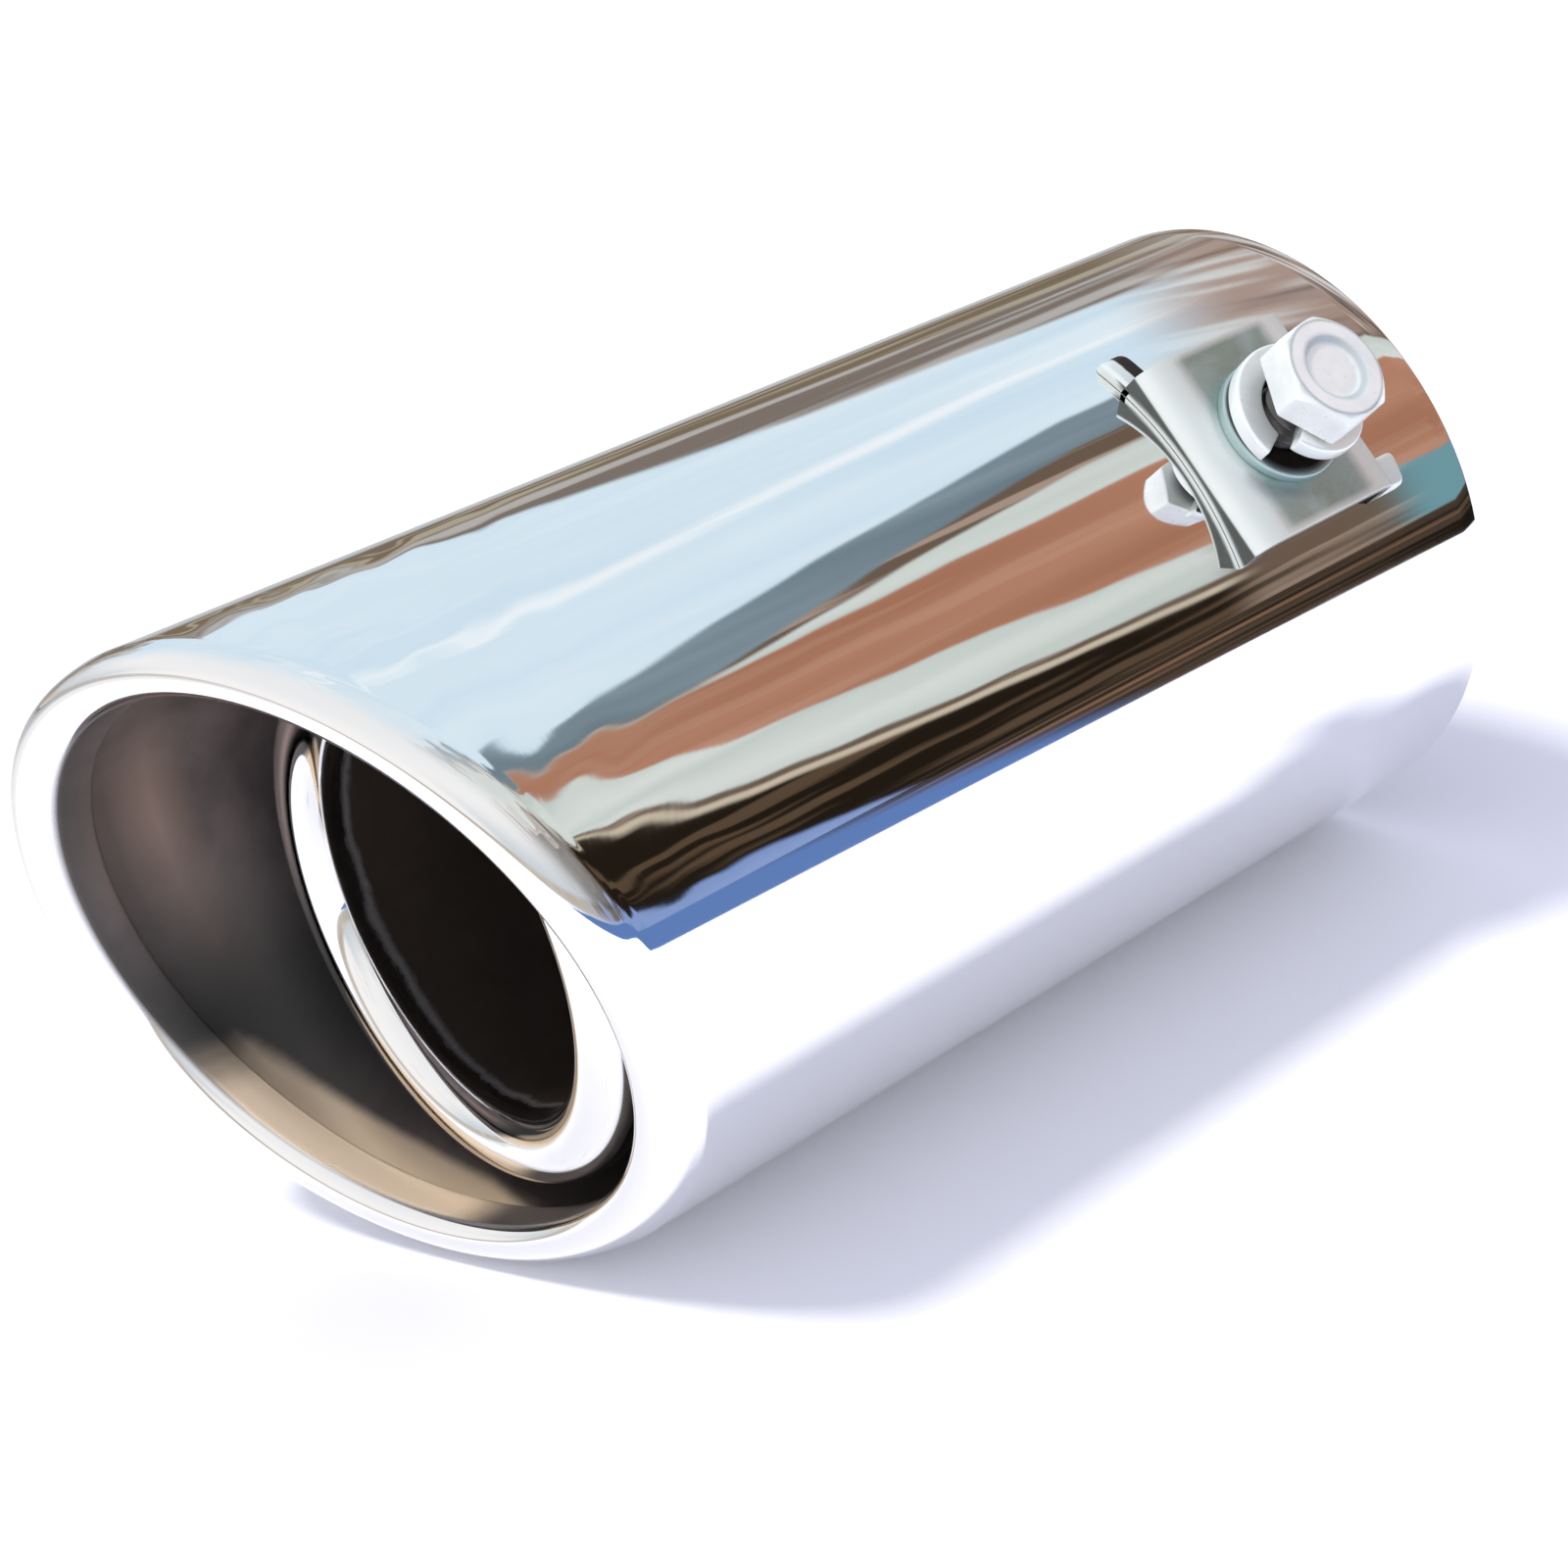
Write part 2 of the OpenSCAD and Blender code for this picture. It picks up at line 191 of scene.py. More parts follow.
def holed_grid(base, blocks, wrap_rows=False, wrap_cols=False):
    """A grid of points in which each block of cells is swapped for rings round a hole.

    A ring's points run straight from the block's edge to the hole's edge, in the grid's
    own coordinates. Returns the points, the quads and one loop of indices per hole.
    """
    rows, cols = base.shape[:2]
    points = base.reshape(-1, base.shape[2])
    quads = grid_faces(rows, cols, wrap_rows, wrap_cols)
    loops = []
    for i0, i1, j0, j1, hole, rings in blocks:
        row = quads[:, 0] // cols
        col = quads[:, 0] % cols
        quads = quads[~((row >= i0) & (row < i1) & (col >= j0) & (col < j1))]
        up, across = np.arange(i0, i1), np.arange(j0, j1)
        edge = np.concatenate([
            i0 * cols + across,
            up * cols + j1,
            i1 * cols + across[::-1] + 1,
            (up[::-1] + 1) * cols + j0,
        ])
        outer = points[edge]
        inner = hole(outer)
        t = (np.arange(1, rings + 1) / rings)[:, None, None]
        start = len(points)
        points = np.vstack([points, ((1 - t) * outer + t * inner).reshape(-1, points.shape[1])])
        ids = np.vstack([edge, start + np.arange(rings * len(edge)).reshape(rings, -1)])
        a, b = ids[:-1], ids[1:]
        ring = np.stack([a, np.roll(a, -1, 1), np.roll(b, -1, 1), b], -1).reshape(-1, 4)
        quads = np.vstack([quads, ring])
        loops.append(ids[-1])
    return points, quads, loops


def wall_between(first, second):
    """Quads that join two closed loops of indices."""
    return np.stack([first, np.roll(first, -1), np.roll(second, -1), second], -1)


def rounded_square(direction, half, corner):
    """The point of a square with rounded corners that lies in each direction from its middle."""
    unit = direction / np.linalg.norm(direction, axis=1, keepdims=True)
    c, s = np.abs(unit[:, 0]), np.abs(unit[:, 1])
    flat = half - corner
    side = half / np.maximum(c, s)
    k = c + s
    turn = flat * k + np.sqrt(np.maximum(flat**2 * k**2 - 2 * flat**2 + corner**2, 0))
    far = np.where(side * np.minimum(c, s) <= flat, side, turn)
    return unit * far[:, None]


def rounded_box_edge(turns, half_x, half_y, corner):
    """The edge of a rectangle with rounded corners, found along rays at the given turns."""
    c, s = np.cos(turns), np.sin(turns)
    ac, as_ = np.abs(c), np.abs(s)
    fx, fy = half_x - corner, half_y - corner
    tx = half_x / np.maximum(ac, 1e-9)
    ty = half_y / np.maximum(as_, 1e-9)
    side = np.minimum(tx, ty)
    k = fx * ac + fy * as_
    turn = k + np.sqrt(np.maximum(k**2 - fx**2 - fy**2 + corner**2, 0))
    cornered = (side * ac > fx) & (side * as_ > fy)
    return np.where(cornered, turn, side)


def at_side(points, roll, far):
    """Turns points built pointing up to their clamp's side: a turn about X."""
    a = roll + (np.pi if far else 0)
    x, y, z = points[:, 0], points[:, 1], points[:, 2]
    return np.column_stack([x, y * np.cos(a) - z * np.sin(a), y * np.sin(a) + z * np.cos(a)])


def put(name, points, faces, body, slot, node, masks, sharp=40, bevel=0.0):
    """Puts millimetre points and faces into a mesh object that stands for a frame node."""
    mesh = bpy.data.meshes.new(name)
    mesh.from_pydata((np.asarray(points) * MM).tolist(), [], [list(f) for f in faces])
    for key, values in masks.items():
        layer = mesh.attributes.new(key, "FLOAT", "POINT")
        layer.data.foreach_set("value", np.asarray(values, np.float32))
    work = bmesh.new()
    work.from_mesh(mesh)
    loose = [v for v in work.verts if not v.link_faces]
    bmesh.ops.delete(work, geom=loose, context="VERTS")
    bmesh.ops.remove_doubles(work, verts=work.verts, dist=1e-6)
    bmesh.ops.recalc_face_normals(work, faces=work.faces)
    work.to_mesh(mesh)
    work.free()
    mesh.polygons.foreach_set("use_smooth", np.ones(len(mesh.polygons), bool))
    mesh.set_sharp_from_angle(angle=np.radians(sharp))
    mesh.materials.append(finishes()[slot])
    piece = bpy.data.objects.new(name, mesh)
    bpy.context.scene.collection.objects.link(piece)
    if bevel:
        edge = piece.modifiers.new("Rounded edges", "BEVEL")
        edge.width = bevel * MM
        edge.segments = 3
        edge.limit_method = "ANGLE"
        edge.angle_limit = np.radians(sharp)
        edge.harden_normals = True
    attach(piece, body)
    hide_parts(node)


def put_at(side, name, points, faces, body, slot, node, masks, sharp, bevel=0.0):
    """Puts one clamp's copy of a piece that was built pointing up at its side of the tube."""
    own = body if body == "tube" else f"{side}_{body}"
    placed = at_side(points, bpy.context.scene.tip_clamp.roll, side == "far")
    put(f"{side}_{name}", placed, faces, own, slot, f"{side}_{node}", masks, sharp, bevel)


def put_pair(*piece):
    """Puts both clamps' copies of a piece, the near one first."""
    for side in SIDES:
        put_at(side, *piece)


def lathe(profile, columns, turn=0.0):
    """A closed profile of [radius, distance along X] carried round the X axis."""
    a = turn + np.arange(columns) * 2 * np.pi / columns
    r, x = profile[:, 0][:, None], profile[:, 1][:, None]
    points = np.stack([x + 0 * a, r * np.sin(a), r * np.cos(a)], -1).reshape(-1, 3)
    return points, grid_faces(len(profile), columns, True, True)


# Node groups

def new_group(name, inputs, outputs):
    """An empty shader node group with the given sockets."""
    group = bpy.data.node_groups.new(name, "ShaderNodeTree")
    for key, kind, value in inputs:
        socket = group.interface.new_socket(key, in_out="INPUT", socket_type=kind)
        if value is not None:
            socket.default_value = value
    for key, kind in outputs:
        group.interface.new_socket(key, in_out="OUTPUT", socket_type=kind)
    return group, group.nodes.new("NodeGroupInput"), group.nodes.new("NodeGroupOutput")


class Nodes:
    """Short calls that add nodes to a tree and link them."""

    def __init__(self, tree):
        self.tree = tree

    def add(self, kind, **settings):
        node = self.tree.nodes.new("ShaderNode" + kind)
        for key, value in settings.items():
            setattr(node, key, value)
        return node

    def link(self, source, target):
        self.tree.links.new(source, target)

    def feed(self, socket, value):
        if isinstance(value, bpy.types.NodeSocket):
            self.link(value, socket)
        else:
            socket.default_value = value

    def math(self, operation, a, b=0.0, c=0.0):
        node = self.add("Math", operation=operation)
        for socket, value in zip(node.inputs, (a, b, c)):
            self.feed(socket, value)
        return node.outputs[0]

    def mul(self, a, b):
        return self.math("MULTIPLY", a, b)

    def sub(self, a, b):
        return self.math("SUBTRACT", a, b)

    def muladd(self, a, b, c):
        return self.math("MULTIPLY_ADD", a, b, c)

    def attribute(self, name):
        return self.add("Attribute", attribute_name=name).outputs["Fac"]

    def place(self):
        return self.add("TexCoord").outputs["Object"]

    def parts(self, vector):
        node = self.add("SeparateXYZ")
        self.link(vector, node.inputs[0])
        return tuple(node.outputs)

    def spot(self, *values):
        node = self.add("CombineXYZ")
        for socket, value in zip(node.inputs, values):
            self.feed(socket, value)
        return node.outputs[0]

    def vector(self, operation, *values):
        node = self.add("VectorMath", operation=operation)
        for socket, value in zip(node.inputs, values):
            self.feed(socket, value)
        return node.outputs["Value" if operation == "LENGTH" else "Vector"]

    def step(self, value, low, high, to_low=0.0, to_high=1.0, kind="SMOOTHSTEP"):
        node = self.add("MapRange", interpolation_type=kind)
        keys = ("Value", "From Min", "From Max", "To Min", "To Max")
        for key, setting in zip(keys, (value, low, high, to_low, to_high)):
            self.feed(node.inputs[key], setting)
        return node.outputs["Result"]

    def blend(self, fac, a, b):
        node = self.add("Mix", data_type="FLOAT")
        for socket, value in zip((node.inputs[0], node.inputs[2], node.inputs[3]), (fac, a, b)):
            self.feed(socket, value)
        return node.outputs[0]

    def mix(self, fac, a, b):
        node = self.add("Mix", data_type="RGBA")
        self.feed(node.inputs[0], fac)
        for socket, value in ((node.inputs[6], a), (node.inputs[7], b)):
            self.feed(socket, value if isinstance(value, bpy.types.NodeSocket) else (*value[:3], 1.0))
        return node.outputs[2]

    def noise(self, vector, scale, detail=3.0, rough=0.5, distortion=0.0):
        node = self.add("TexNoise")
        self.link(vector, node.inputs["Vector"])
        for key, value in (("Scale", scale), ("Detail", detail), ("Roughness", rough), ("Distortion", distortion)):
            self.feed(node.inputs[key], value)
        return node.outputs["Fac"]


def round_lines_group():
    """Fine lines that run round the tube, as a polishing wheel leaves them.

    The noise reads x times a large scale and the unit vector round the axis times a small one,
    so it has no seam.
    """
    group, start, end = new_group(
        "Polishing lines",
        [("Lines per metre", "NodeSocketFloat", 2600.0), ("Breaks", "NodeSocketFloat", 3.0)],
        [("Lines", "NodeSocketFloat"), ("Smudge", "NodeSocketFloat")],
    )
    n = Nodes(group)
    place = n.place()
    x, y, z = n.parts(place)
    around = n.add("VectorMath", operation="SCALE")
    n.link(n.vector("NORMALIZE", n.spot(0.0, y, z)), around.inputs[0])
    n.link(start.outputs["Breaks"], around.inputs["Scale"])
    along = n.spot(n.mul(x, start.outputs["Lines per metre"]))
    spot = n.vector("ADD", around.outputs[0], along)
    n.link(n.noise(spot, 1.0, 2.0, 0.6), end.inputs["Lines"])
    n.link(n.step(n.noise(place, 34.0, 4.0, 0.6, 0.4), 0.45, 0.75), end.inputs["Smudge"])
    return group


def grain_group():
    """Fine rolled grain, blotches of plating and small pits on pressed steel."""
    group, start, end = new_group(
        "Plating grain",
        [("Grain", "NodeSocketFloat", 900.0), ("Blotch", "NodeSocketFloat", 140.0)],
        [("Grain", "NodeSocketFloat"), ("Blotch", "NodeSocketFloat"), ("Pits", "NodeSocketFloat")],
    )
    n = Nodes(group)
    place = n.place()
    n.link(n.noise(place, start.outputs["Grain"], 3.0, 0.6), end.inputs["Grain"])
    n.link(n.noise(place, start.outputs["Blotch"], 4.0, 0.6, 0.8), end.inputs["Blotch"])
    n.link(n.step(n.noise(place, 1900.0, 1.0, 0.5), 0.66, 0.76), end.inputs["Pits"])
    return group


def metal(name, base, rough, groups):
    """A material with a plain metal shader; returns its tree helper, shader and groups."""
    material = bpy.data.materials.new("tip_" + name)
    material.use_nodes = True
    n = Nodes(material.node_tree)
    shader = material.node_tree.nodes["Principled BSDF"]
    shader.inputs["Base Color"].default_value = (*base, 1.0)
    shader.inputs["Metallic"].default_value = 1.0
    shader.inputs["Roughness"].default_value = rough
    placed = []
    for group in groups:
        node = n.add("Group")
        node.node_tree = group
        placed.append(node)
    return n, shader, placed


def bump(n, shader, height, strength, distance):
    """Feeds a height to the shader's normal, with a distance in millimetres."""
    node = n.add("Bump")
    node.inputs["Strength"].default_value = strength
    node.inputs["Distance"].default_value = distance * MM
    n.link(height, node.inputs["Height"])
    n.link(node.outputs["Normal"], shader.inputs["Normal"])


def finishes():
    """The materials, made once and kept by name."""
    made = bpy.data.materials
    if "tip_polished_shell" in made:
        return {m.name[4:]: m for m in made if m.name.startswith("tip_")}
    f = bpy.context.scene.tip_finishes
    lines, grain = round_lines_group(), grain_group()

    n, shader, (mark,) = metal("polished_shell", f.polish, 0.05, [lines])
    bare = n.attribute("bare")
    straw = n.attribute("straw")
    coarse = n.noise(n.place(), 60.0, 4.0, 0.6, 0.5)
    wall = f.inner_wall
    dull = n.mix(n.step(coarse, 0.3, 0.75), [c * 0.75 for c in wall], [min(1, c * 1.35) for c in wall])
    glint = n.attribute("glint")
    gloom = n.attribute("gloom")
    dull = n.mix(gloom, dull, (0.055, 0.062, 0.056))
    dull = n.mix(glint, dull, (0.62, 0.44, 0.34))
    # Painted reflection: the warm patch low inside the mouth, with less roughness and a little less metal there.
    tint = n.step(n.muladd(n.sub(coarse, 0.5), 0.3, straw), 0.25, 0.6)
    dull = n.mix(tint, dull, f.straw)
    clear = n.mix(n.mul(mark.outputs["Smudge"], 0.25), f.polish, [c * 0.93 for c in f.polish])
    n.link(n.mix(bare, clear, dull), shader.inputs["Base Color"])
    shine = n.muladd(mark.outputs["Smudge"], 0.03, 0.022)
    shine = n.muladd(mark.outputs["Lines"], 0.02, shine)
    satin = n.muladd(tint, -0.18, n.muladd(coarse, 0.15, 0.40))
    n.link(n.blend(bare, shine, satin), shader.inputs["Roughness"])
    n.link(n.sub(1.0, n.mul(bare, n.muladd(tint, 0.15, 0.45))), shader.inputs["Metallic"])
    height = n.muladd(n.mul(mark.outputs["Lines"], bare), 6.0, mark.outputs["Lines"])
    bump(n, shader, height, 0.10, 0.0016)

    n, shader, (mark,) = metal("polished_mouth", f.polish, 0.06, [lines])
    # Painted shade: the bore is coloured dark and dull, with a streaky grey fringe where it meets the polish.
    soot = n.attribute("soot")
    patch = n.noise(n.place(), 120.0, 5.0, 0.65, 0.6)
    edge = n.step(n.muladd(n.sub(patch, 0.5), 0.5, soot), 0.45, 0.75)
    shade_fringe = n.step(n.muladd(n.sub(mark.outputs["Lines"], 0.5), 0.8, soot), 0.05, 0.5)
    dark = n.mix(patch, [c * 0.6 for c in f.soot], [c * 1.7 for c in f.soot])
    n.link(n.mix(edge, n.mix(shade_fringe, f.polish, (0.34, 0.33, 0.31)), dark), shader.inputs["Base Color"])
    shine = n.muladd(mark.outputs["Smudge"], 0.04, 0.035)
    shine = n.muladd(shade_fringe, 0.2, shine)
    n.link(n.blend(edge, shine, n.muladd(patch, 0.2, 0.65)), shader.inputs["Roughness"])
    n.link(n.sub(1.0, edge), shader.inputs["Metallic"])
    n.link(n.muladd(edge, -0.4, 0.5), shader.inputs["Specular IOR Level"])
    bump(n, shader, mark.outputs["Lines"], 0.10, 0.002)

    for name, base, low, spread, tint, metallic in (
        ("plated_bracket", f.zinc, 0.30, 0.10, (0.30, 0.35, 0.29), 0.62),
        ("plated_screw", f.screw, 0.22, 0.12, (0.80, 0.84, 0.79), 0.28),
        ("spring_steel", f.screw, 0.24, 0.12, (0.76, 0.81, 0.76), 0.38),
        ("plated_nut", [c * 0.9 for c in f.zinc], 0.26, 0.15, (0.50, 0.55, 0.54), 0.70),
        ("pressed_steel", f.bare, 0.34, 0.18, (0.25, 0.24, 0.23), 1.0),
        ("jaw_steel", f.bare, 0.34, 0.18, (0.26, 0.25, 0.25), 1.0),
    ):
        n, shader, (mark,) = metal(name, base, low, [grain])
        shader.inputs["Metallic"].default_value = metallic
        wear_and_sheen = n.attribute("edge")
        # Painted shade: where this mask is set the colour goes near black, for the shade in gaps and under parts.
        sooty = n.attribute("sooty")
        blotch = n.step(mark.outputs["Blotch"], 0.30, 0.72)
        shade = n.mix(blotch, base, tint)
        shade = n.mix(n.mul(mark.outputs["Pits"], 0.15), shade, [c * 0.5 for c in tint])
        # The edge mask lightens the colour: wear on corners and rims, and on the brackets' sides and bends also a
        # painted highlight.
        if metallic < 0.65:
            bright = [c * 0.1 + k for c, k in zip(base, (0.84, 0.87, 0.83))]
        else:
            bright = [min(0.9, c * 1.35) for c in base]
        shade = n.mix(n.mul(wear_and_sheen, 0.95), shade, bright)
        # Painted shade: the line mask darkens the screw head's top where its chamfer and dish begin.
        line = n.attribute("line")
        shade = n.mix(n.mul(line, 0.75), shade, (0.26, 0.31, 0.31))
        n.link(n.mix(sooty, shade, (0.030, 0.024, 0.019)), shader.inputs["Base Color"])
        gloss = n.muladd(blotch, spread, low)
        n.link(n.muladd(mark.outputs["Grain"], 0.08, gloss), shader.inputs["Roughness"])
        height = n.muladd(mark.outputs["Pits"], -1.2, mark.outputs["Grain"])
        bump(n, shader, height, 0.14, 0.03)
    return {m.name[4:]: m for m in made if m.name.startswith("tip_")}


# Pieces

class TIP_OT_shell(bpy.types.Operator):
    """Slash-cut shell with its lip rolled inwards and two windows for the clamps"""

    bl_idname = "tip.shell"
    bl_label = "Shell"

    def execute(self, context):
        """The sheet's closed profile is carried round X.

        Ahead of the slash plane a point lies at the plane's X there, less its own distance;
        near the inlet it lies at a plain X; between them it slides evenly from one to the other.
        """
        s, c = context.scene.tip_shell, context.scene.tip_clamp
        ro = mm(s.diameter) / 2
        ri = ro - mm(s.wall)
        t = mm(s.wall)
        w, sh, rt, hem = mm(s.lip_width), mm(s.lip_shoulder), mm(s.lip_return), mm(s.lip_hem)
        mid = ro - w / 2
        rim = mm(c.place)
        block = 9.6  # half length of the grid that is cut out round a window
        straight = -12.0  # where the slanted rows begin
        e = 0.35  # rounding of the inlet rim
        warm_reflection_turn, glint_turn, gloom_turn = 154, 76, 120

        columns = context.scene.tip_stage.columns
        per = 2 * np.pi / columns
        first = round(np.radians(60) / per)
        a = -c.roll - first * per + np.arange(columns) * per
        plane = rim - mm(s.span)

        def plain(x, r):
            """Rows at a plain distance along X."""
            return np.column_stack([np.zeros(len(x)), x, r + 0 * x, np.zeros(len(x))])

        def slanted(points):
            """Rows at [distance ahead of the slash plane, radius]."""
            return np.column_stack([np.ones(len(points)), points[:, 0], points[:, 1], np.zeros(len(points))])

        def between(r, n, back):
            """Rows that slide from the plain run to the lip's start, both on one radius."""
            f = np.arange(1, n) / n
            f = f[::-1] if back else f
            return np.column_stack([f, np.full(n - 1, np.nan), np.full(n - 1, r), np.zeros(n - 1)])

        out_x = np.concatenate([np.linspace(rim - e, block, 7)[1:], np.linspace(block, -block, 13)[1:], [straight]])
        fillet = arc(rim - e, ro - e, e, e, 0, 90, 4)
        back_fillet = arc(rim - e, ri + e, e, e, -90, 0, 4)
        crease = np.array([[0.85, 0], [0.97, -0.004], [1.08, -0.018], [1.2, -0.042], [1.45, -0.098]]) + [-sh, ro]
        lip_out = path([[-sh, ro]], crease, arc(-sh, mid, sh, w / 2, 66, 0, 18), arc(-rt, mid, rt, w / 2, 0, -90, 18))
        hem_end = arc(-rt - hem, mid - w / 2 + t / 2, t / 2, t / 2, -90, -270, 8)
        lip_in = path(
            arc(-rt, mid, rt - t, w / 2 - t, -90, 0, 10),
            arc(-sh, mid, sh - t, w / 2 - t, 0, 90, 12),
        )
        lip = path(lip_out, [[-rt - hem / 2, mid - w / 2]], hem_end, [[-rt - hem / 2, mid - w / 2 + t]], lip_in)
        rows = np.vstack([
            plain(fillet[:, 0], fillet[:, 1]),
            plain(out_x, ro),
            between(ro, 24, False),
            slanted(lip),
            between(ri, 20, True),
            plain(out_x[::-1], ri),
            plain(back_fillet[:, 0], back_fillet[:, 1]),
        ])
        n_out = len(fillet) + 6 + 12
        kind, dist, r = rows[:, 0], rows[:, 1], rows[:, 2]
        slash_x = plane - np.tan(s.slash) * r[:, None] * np.cos(a[None, :] - s.slash_roll)
        edge = plane + sh - np.tan(s.slash) * r[:, None] * np.cos(a[None, :] - s.slash_roll)
        x = np.where(kind[:, None] == 1, slash_x - np.nan_to_num(dist)[:, None], np.nan_to_num(dist)[:, None])
        slide = np.isnan(dist)[:, None]
        x = np.where(slide, (1 - kind[:, None]) * straight + kind[:, None] * edge, x)
        base = np.stack([x, np.broadcast_to(a, x.shape), np.broadcast_to(r[:, None], x.shape)], -1)

        half = mm(c.hexagon) / 2 / np.cos(np.pi / 6) + 0.5
        row0 = int(np.argmin(np.abs(rows[:n_out, 1] - block) + 100 * (rows[:n_out, 2] != ro)))
        back_rows = np.where((r == ri) & (kind == 0) & (np.abs(dist - straight) < 1e-9))[0][0]
        row1 = back_rows + 1
        blocks = []
        for mid_col in (first, first + columns // 2):
            for start in (row0, row1):
                radius = ro if start == row0 else ri

                def hole(edge_points, radius=radius, centre=a[mid_col]):
                    across = radius * np.sin(edge_points[:, 1] - centre)
                    plan = rounded_square(np.column_stack([edge_points[:, 0], across]), half, 2.0)
                    turn = centre + np.arcsin(plan[:, 1] / radius)
                    return np.column_stack([plan[:, 0], turn, np.full(len(plan), radius)])

                span = round(np.radians(18) / per)
                blocks.append((start, start + 12, mid_col - span, mid_col + span, hole, 4))
        points, quads, loops = holed_grid(base, blocks, True, True)
        for outer, inner in ((loops[0], loops[1]), (loops[2], loops[3])):
            ring = inner[::-1]
            far = points[ring] - points[outer[0]]
            near = int(np.argmin(np.abs(far[:, 0]) + 20 * np.abs(far[:, 1])))
            quads = np.vstack([quads, wall_between(outer, np.roll(ring, -near))])
        xyz = np.column_stack([
            points[:, 0], points[:, 2] * np.sin(points[:, 1]), points[:, 2] * np.cos(points[:, 1])
        ])
        inside = np.zeros(len(points))
        n_lip = len(path(lip_out, [[-rt - hem / 2, mid - w / 2]]))
        first_lip = int(np.argmax(kind == 1))
        row_bare = np.clip((np.arange(len(rows)) - first_lip - n_lip + 7) / 3, 0, 1)
        row_bare[-3:] = 0
        inside[:x.size] = np.repeat(row_bare, columns)
        inside[x.size:] = (points[x.size:, 2] < ro - t / 2)
        # Mask of the painted warm reflection low inside the mouth, on the unpolished wall near the lip.
        low = np.cos((points[:, 1] - np.radians(warm_reflection_turn)) / 2) ** 26
        depth = points[:, 0] - plane + np.tan(s.slash) * points[:, 2] * np.cos(points[:, 1] - s.slash_roll)
        straw = low * np.clip((13.0 - depth) / 4.0, 0, 1) * inside
        turned = np.degrees(np.angle(np.exp(1j * points[:, 1])))
        glint = np.exp(-((turned - glint_turn) / 20) ** 2) * (
            0.35 * np.exp(-((depth - 6.5) / 1.6) ** 2) + 0.6 * np.exp(-((depth - 13) / 2.6) ** 2)) * inside
        gloom = 0.85 * np.exp(-((turned - gloom_turn) / 28) ** 2) * np.clip((depth + 1) / 5, 0, 1) * inside
        gloom += 0.55 * np.clip((4.2 - depth) / 1.2, 0, 1) * np.clip((135 - turned) / 30, 0, 1) * (1 - gloom) * inside
        put("shell_skin", xyz, quads, "tube", "polished_shell", "outer_shell",
            {"bare": inside, "straw": straw, "glint": glint, "gloom": gloom}, sharp=50)
        return {"FINISHED"}


class TIP_OT_inner_tube(bpy.types.Operator):
    """Inner tube whose mouth is rolled outwards, with painted shade darkening its bore"""

    bl_idname = "tip.inner_tube"
    bl_label = "Inner Tube"

    def execute(self, context):
        """A closed profile of radius and distance along X, turned about X."""
        s, c = context.scene.tip_shell, context.scene.tip_clamp
        r, t = mm(s.bore) / 2, mm(s.bore_wall)
        roll = (mm(s.mouth) / 2 - r) / 2
        front = mm(s.bore_front) - roll
        back = mm(s.bore_front) - mm(s.bore_length)
        skirt = mm(s.skirt)
        profile = path(
            np.column_stack([np.full(40, r), front - (front - back - 0.3) * np.linspace(1, 0, 40) ** 1.7]),
            arc(r + roll, front, roll, roll, 180, 0, 40),
            arc(r + 2 * roll - t / 2, front - skirt + t / 2, t / 2, t / 2, 0, -180, 8),
            arc(r + roll, front, roll - t, roll - t, 0, 180, 24),
            np.column_stack([np.full(8, r + t), np.linspace(front, back + 0.3, 8)]),
            arc(r + t / 2, back + t / 2, t / 2, t / 2, 0, -180, 8),
        )
        points, quads = lathe(np.column_stack([profile[:, 0], mm(c.place) - profile[:, 1]]), 192)
        # Mask of the painted shade in the bore, from just behind the rolled mouth deeper in.
        deep = np.clip((front + 1.6 - profile[:, 1]) / 5.0, 0, 1) * (profile[:, 0] < r + t / 2)
        put("rolled_inner_tube", points, quads, "tube", "polished_mouth", "inner_tube",
            {"soot": np.repeat(deep, 192)}, sharp=60)
        return {"FINISHED"}


class TIP_OT_support_ring(bpy.types.Operator):
    """Pressed ring that carries the inner tube inside the shell"""

    bl_idname = "tip.support_ring"
    bl_label = "Support Ring"

    def execute(self, context):
        """A bent sheet profile: two collars and a web, turned about X."""
        s, c = context.scene.tip_shell, context.scene.tip_clamp
        gap, t, rb, deep, web = 0.05, 1.0, 2.4, 9.0, 62.0
        ri = mm(s.bore) / 2 + mm(s.bore_wall) + gap
        ro = mm(s.diameter) / 2 - mm(s.wall) - gap
        back = web - deep
        profile = path(
            [[ri, back + 0.2]],
            arc(ri + rb, web - rb, rb, rb, 180, 90, 10),
            arc(ro - rb, web - rb, rb, rb, 90, 0, 10),
            [[ro, back + 0.2], [ro - 0.2, back], [ro - t + 0.2, back], [ro - t, back + 0.2]],
            arc(ro - rb, web - rb, rb - t, rb - t, 0, 90, 8),
            arc(ri + rb, web - rb, rb - t, rb - t, 90, 180, 8),
            [[ri + t, back + 0.2], [ri + t - 0.2, back], [ri + 0.2, back]],
        )
        points, quads = lathe(np.column_stack([profile[:, 0], mm(c.place) - profile[:, 1]]), 144)
        put("pressed_support_ring", points, quads, "tube", "pressed_steel", "support_ring",
            {"edge": np.zeros(len(points))})
        return {"FINISHED"}


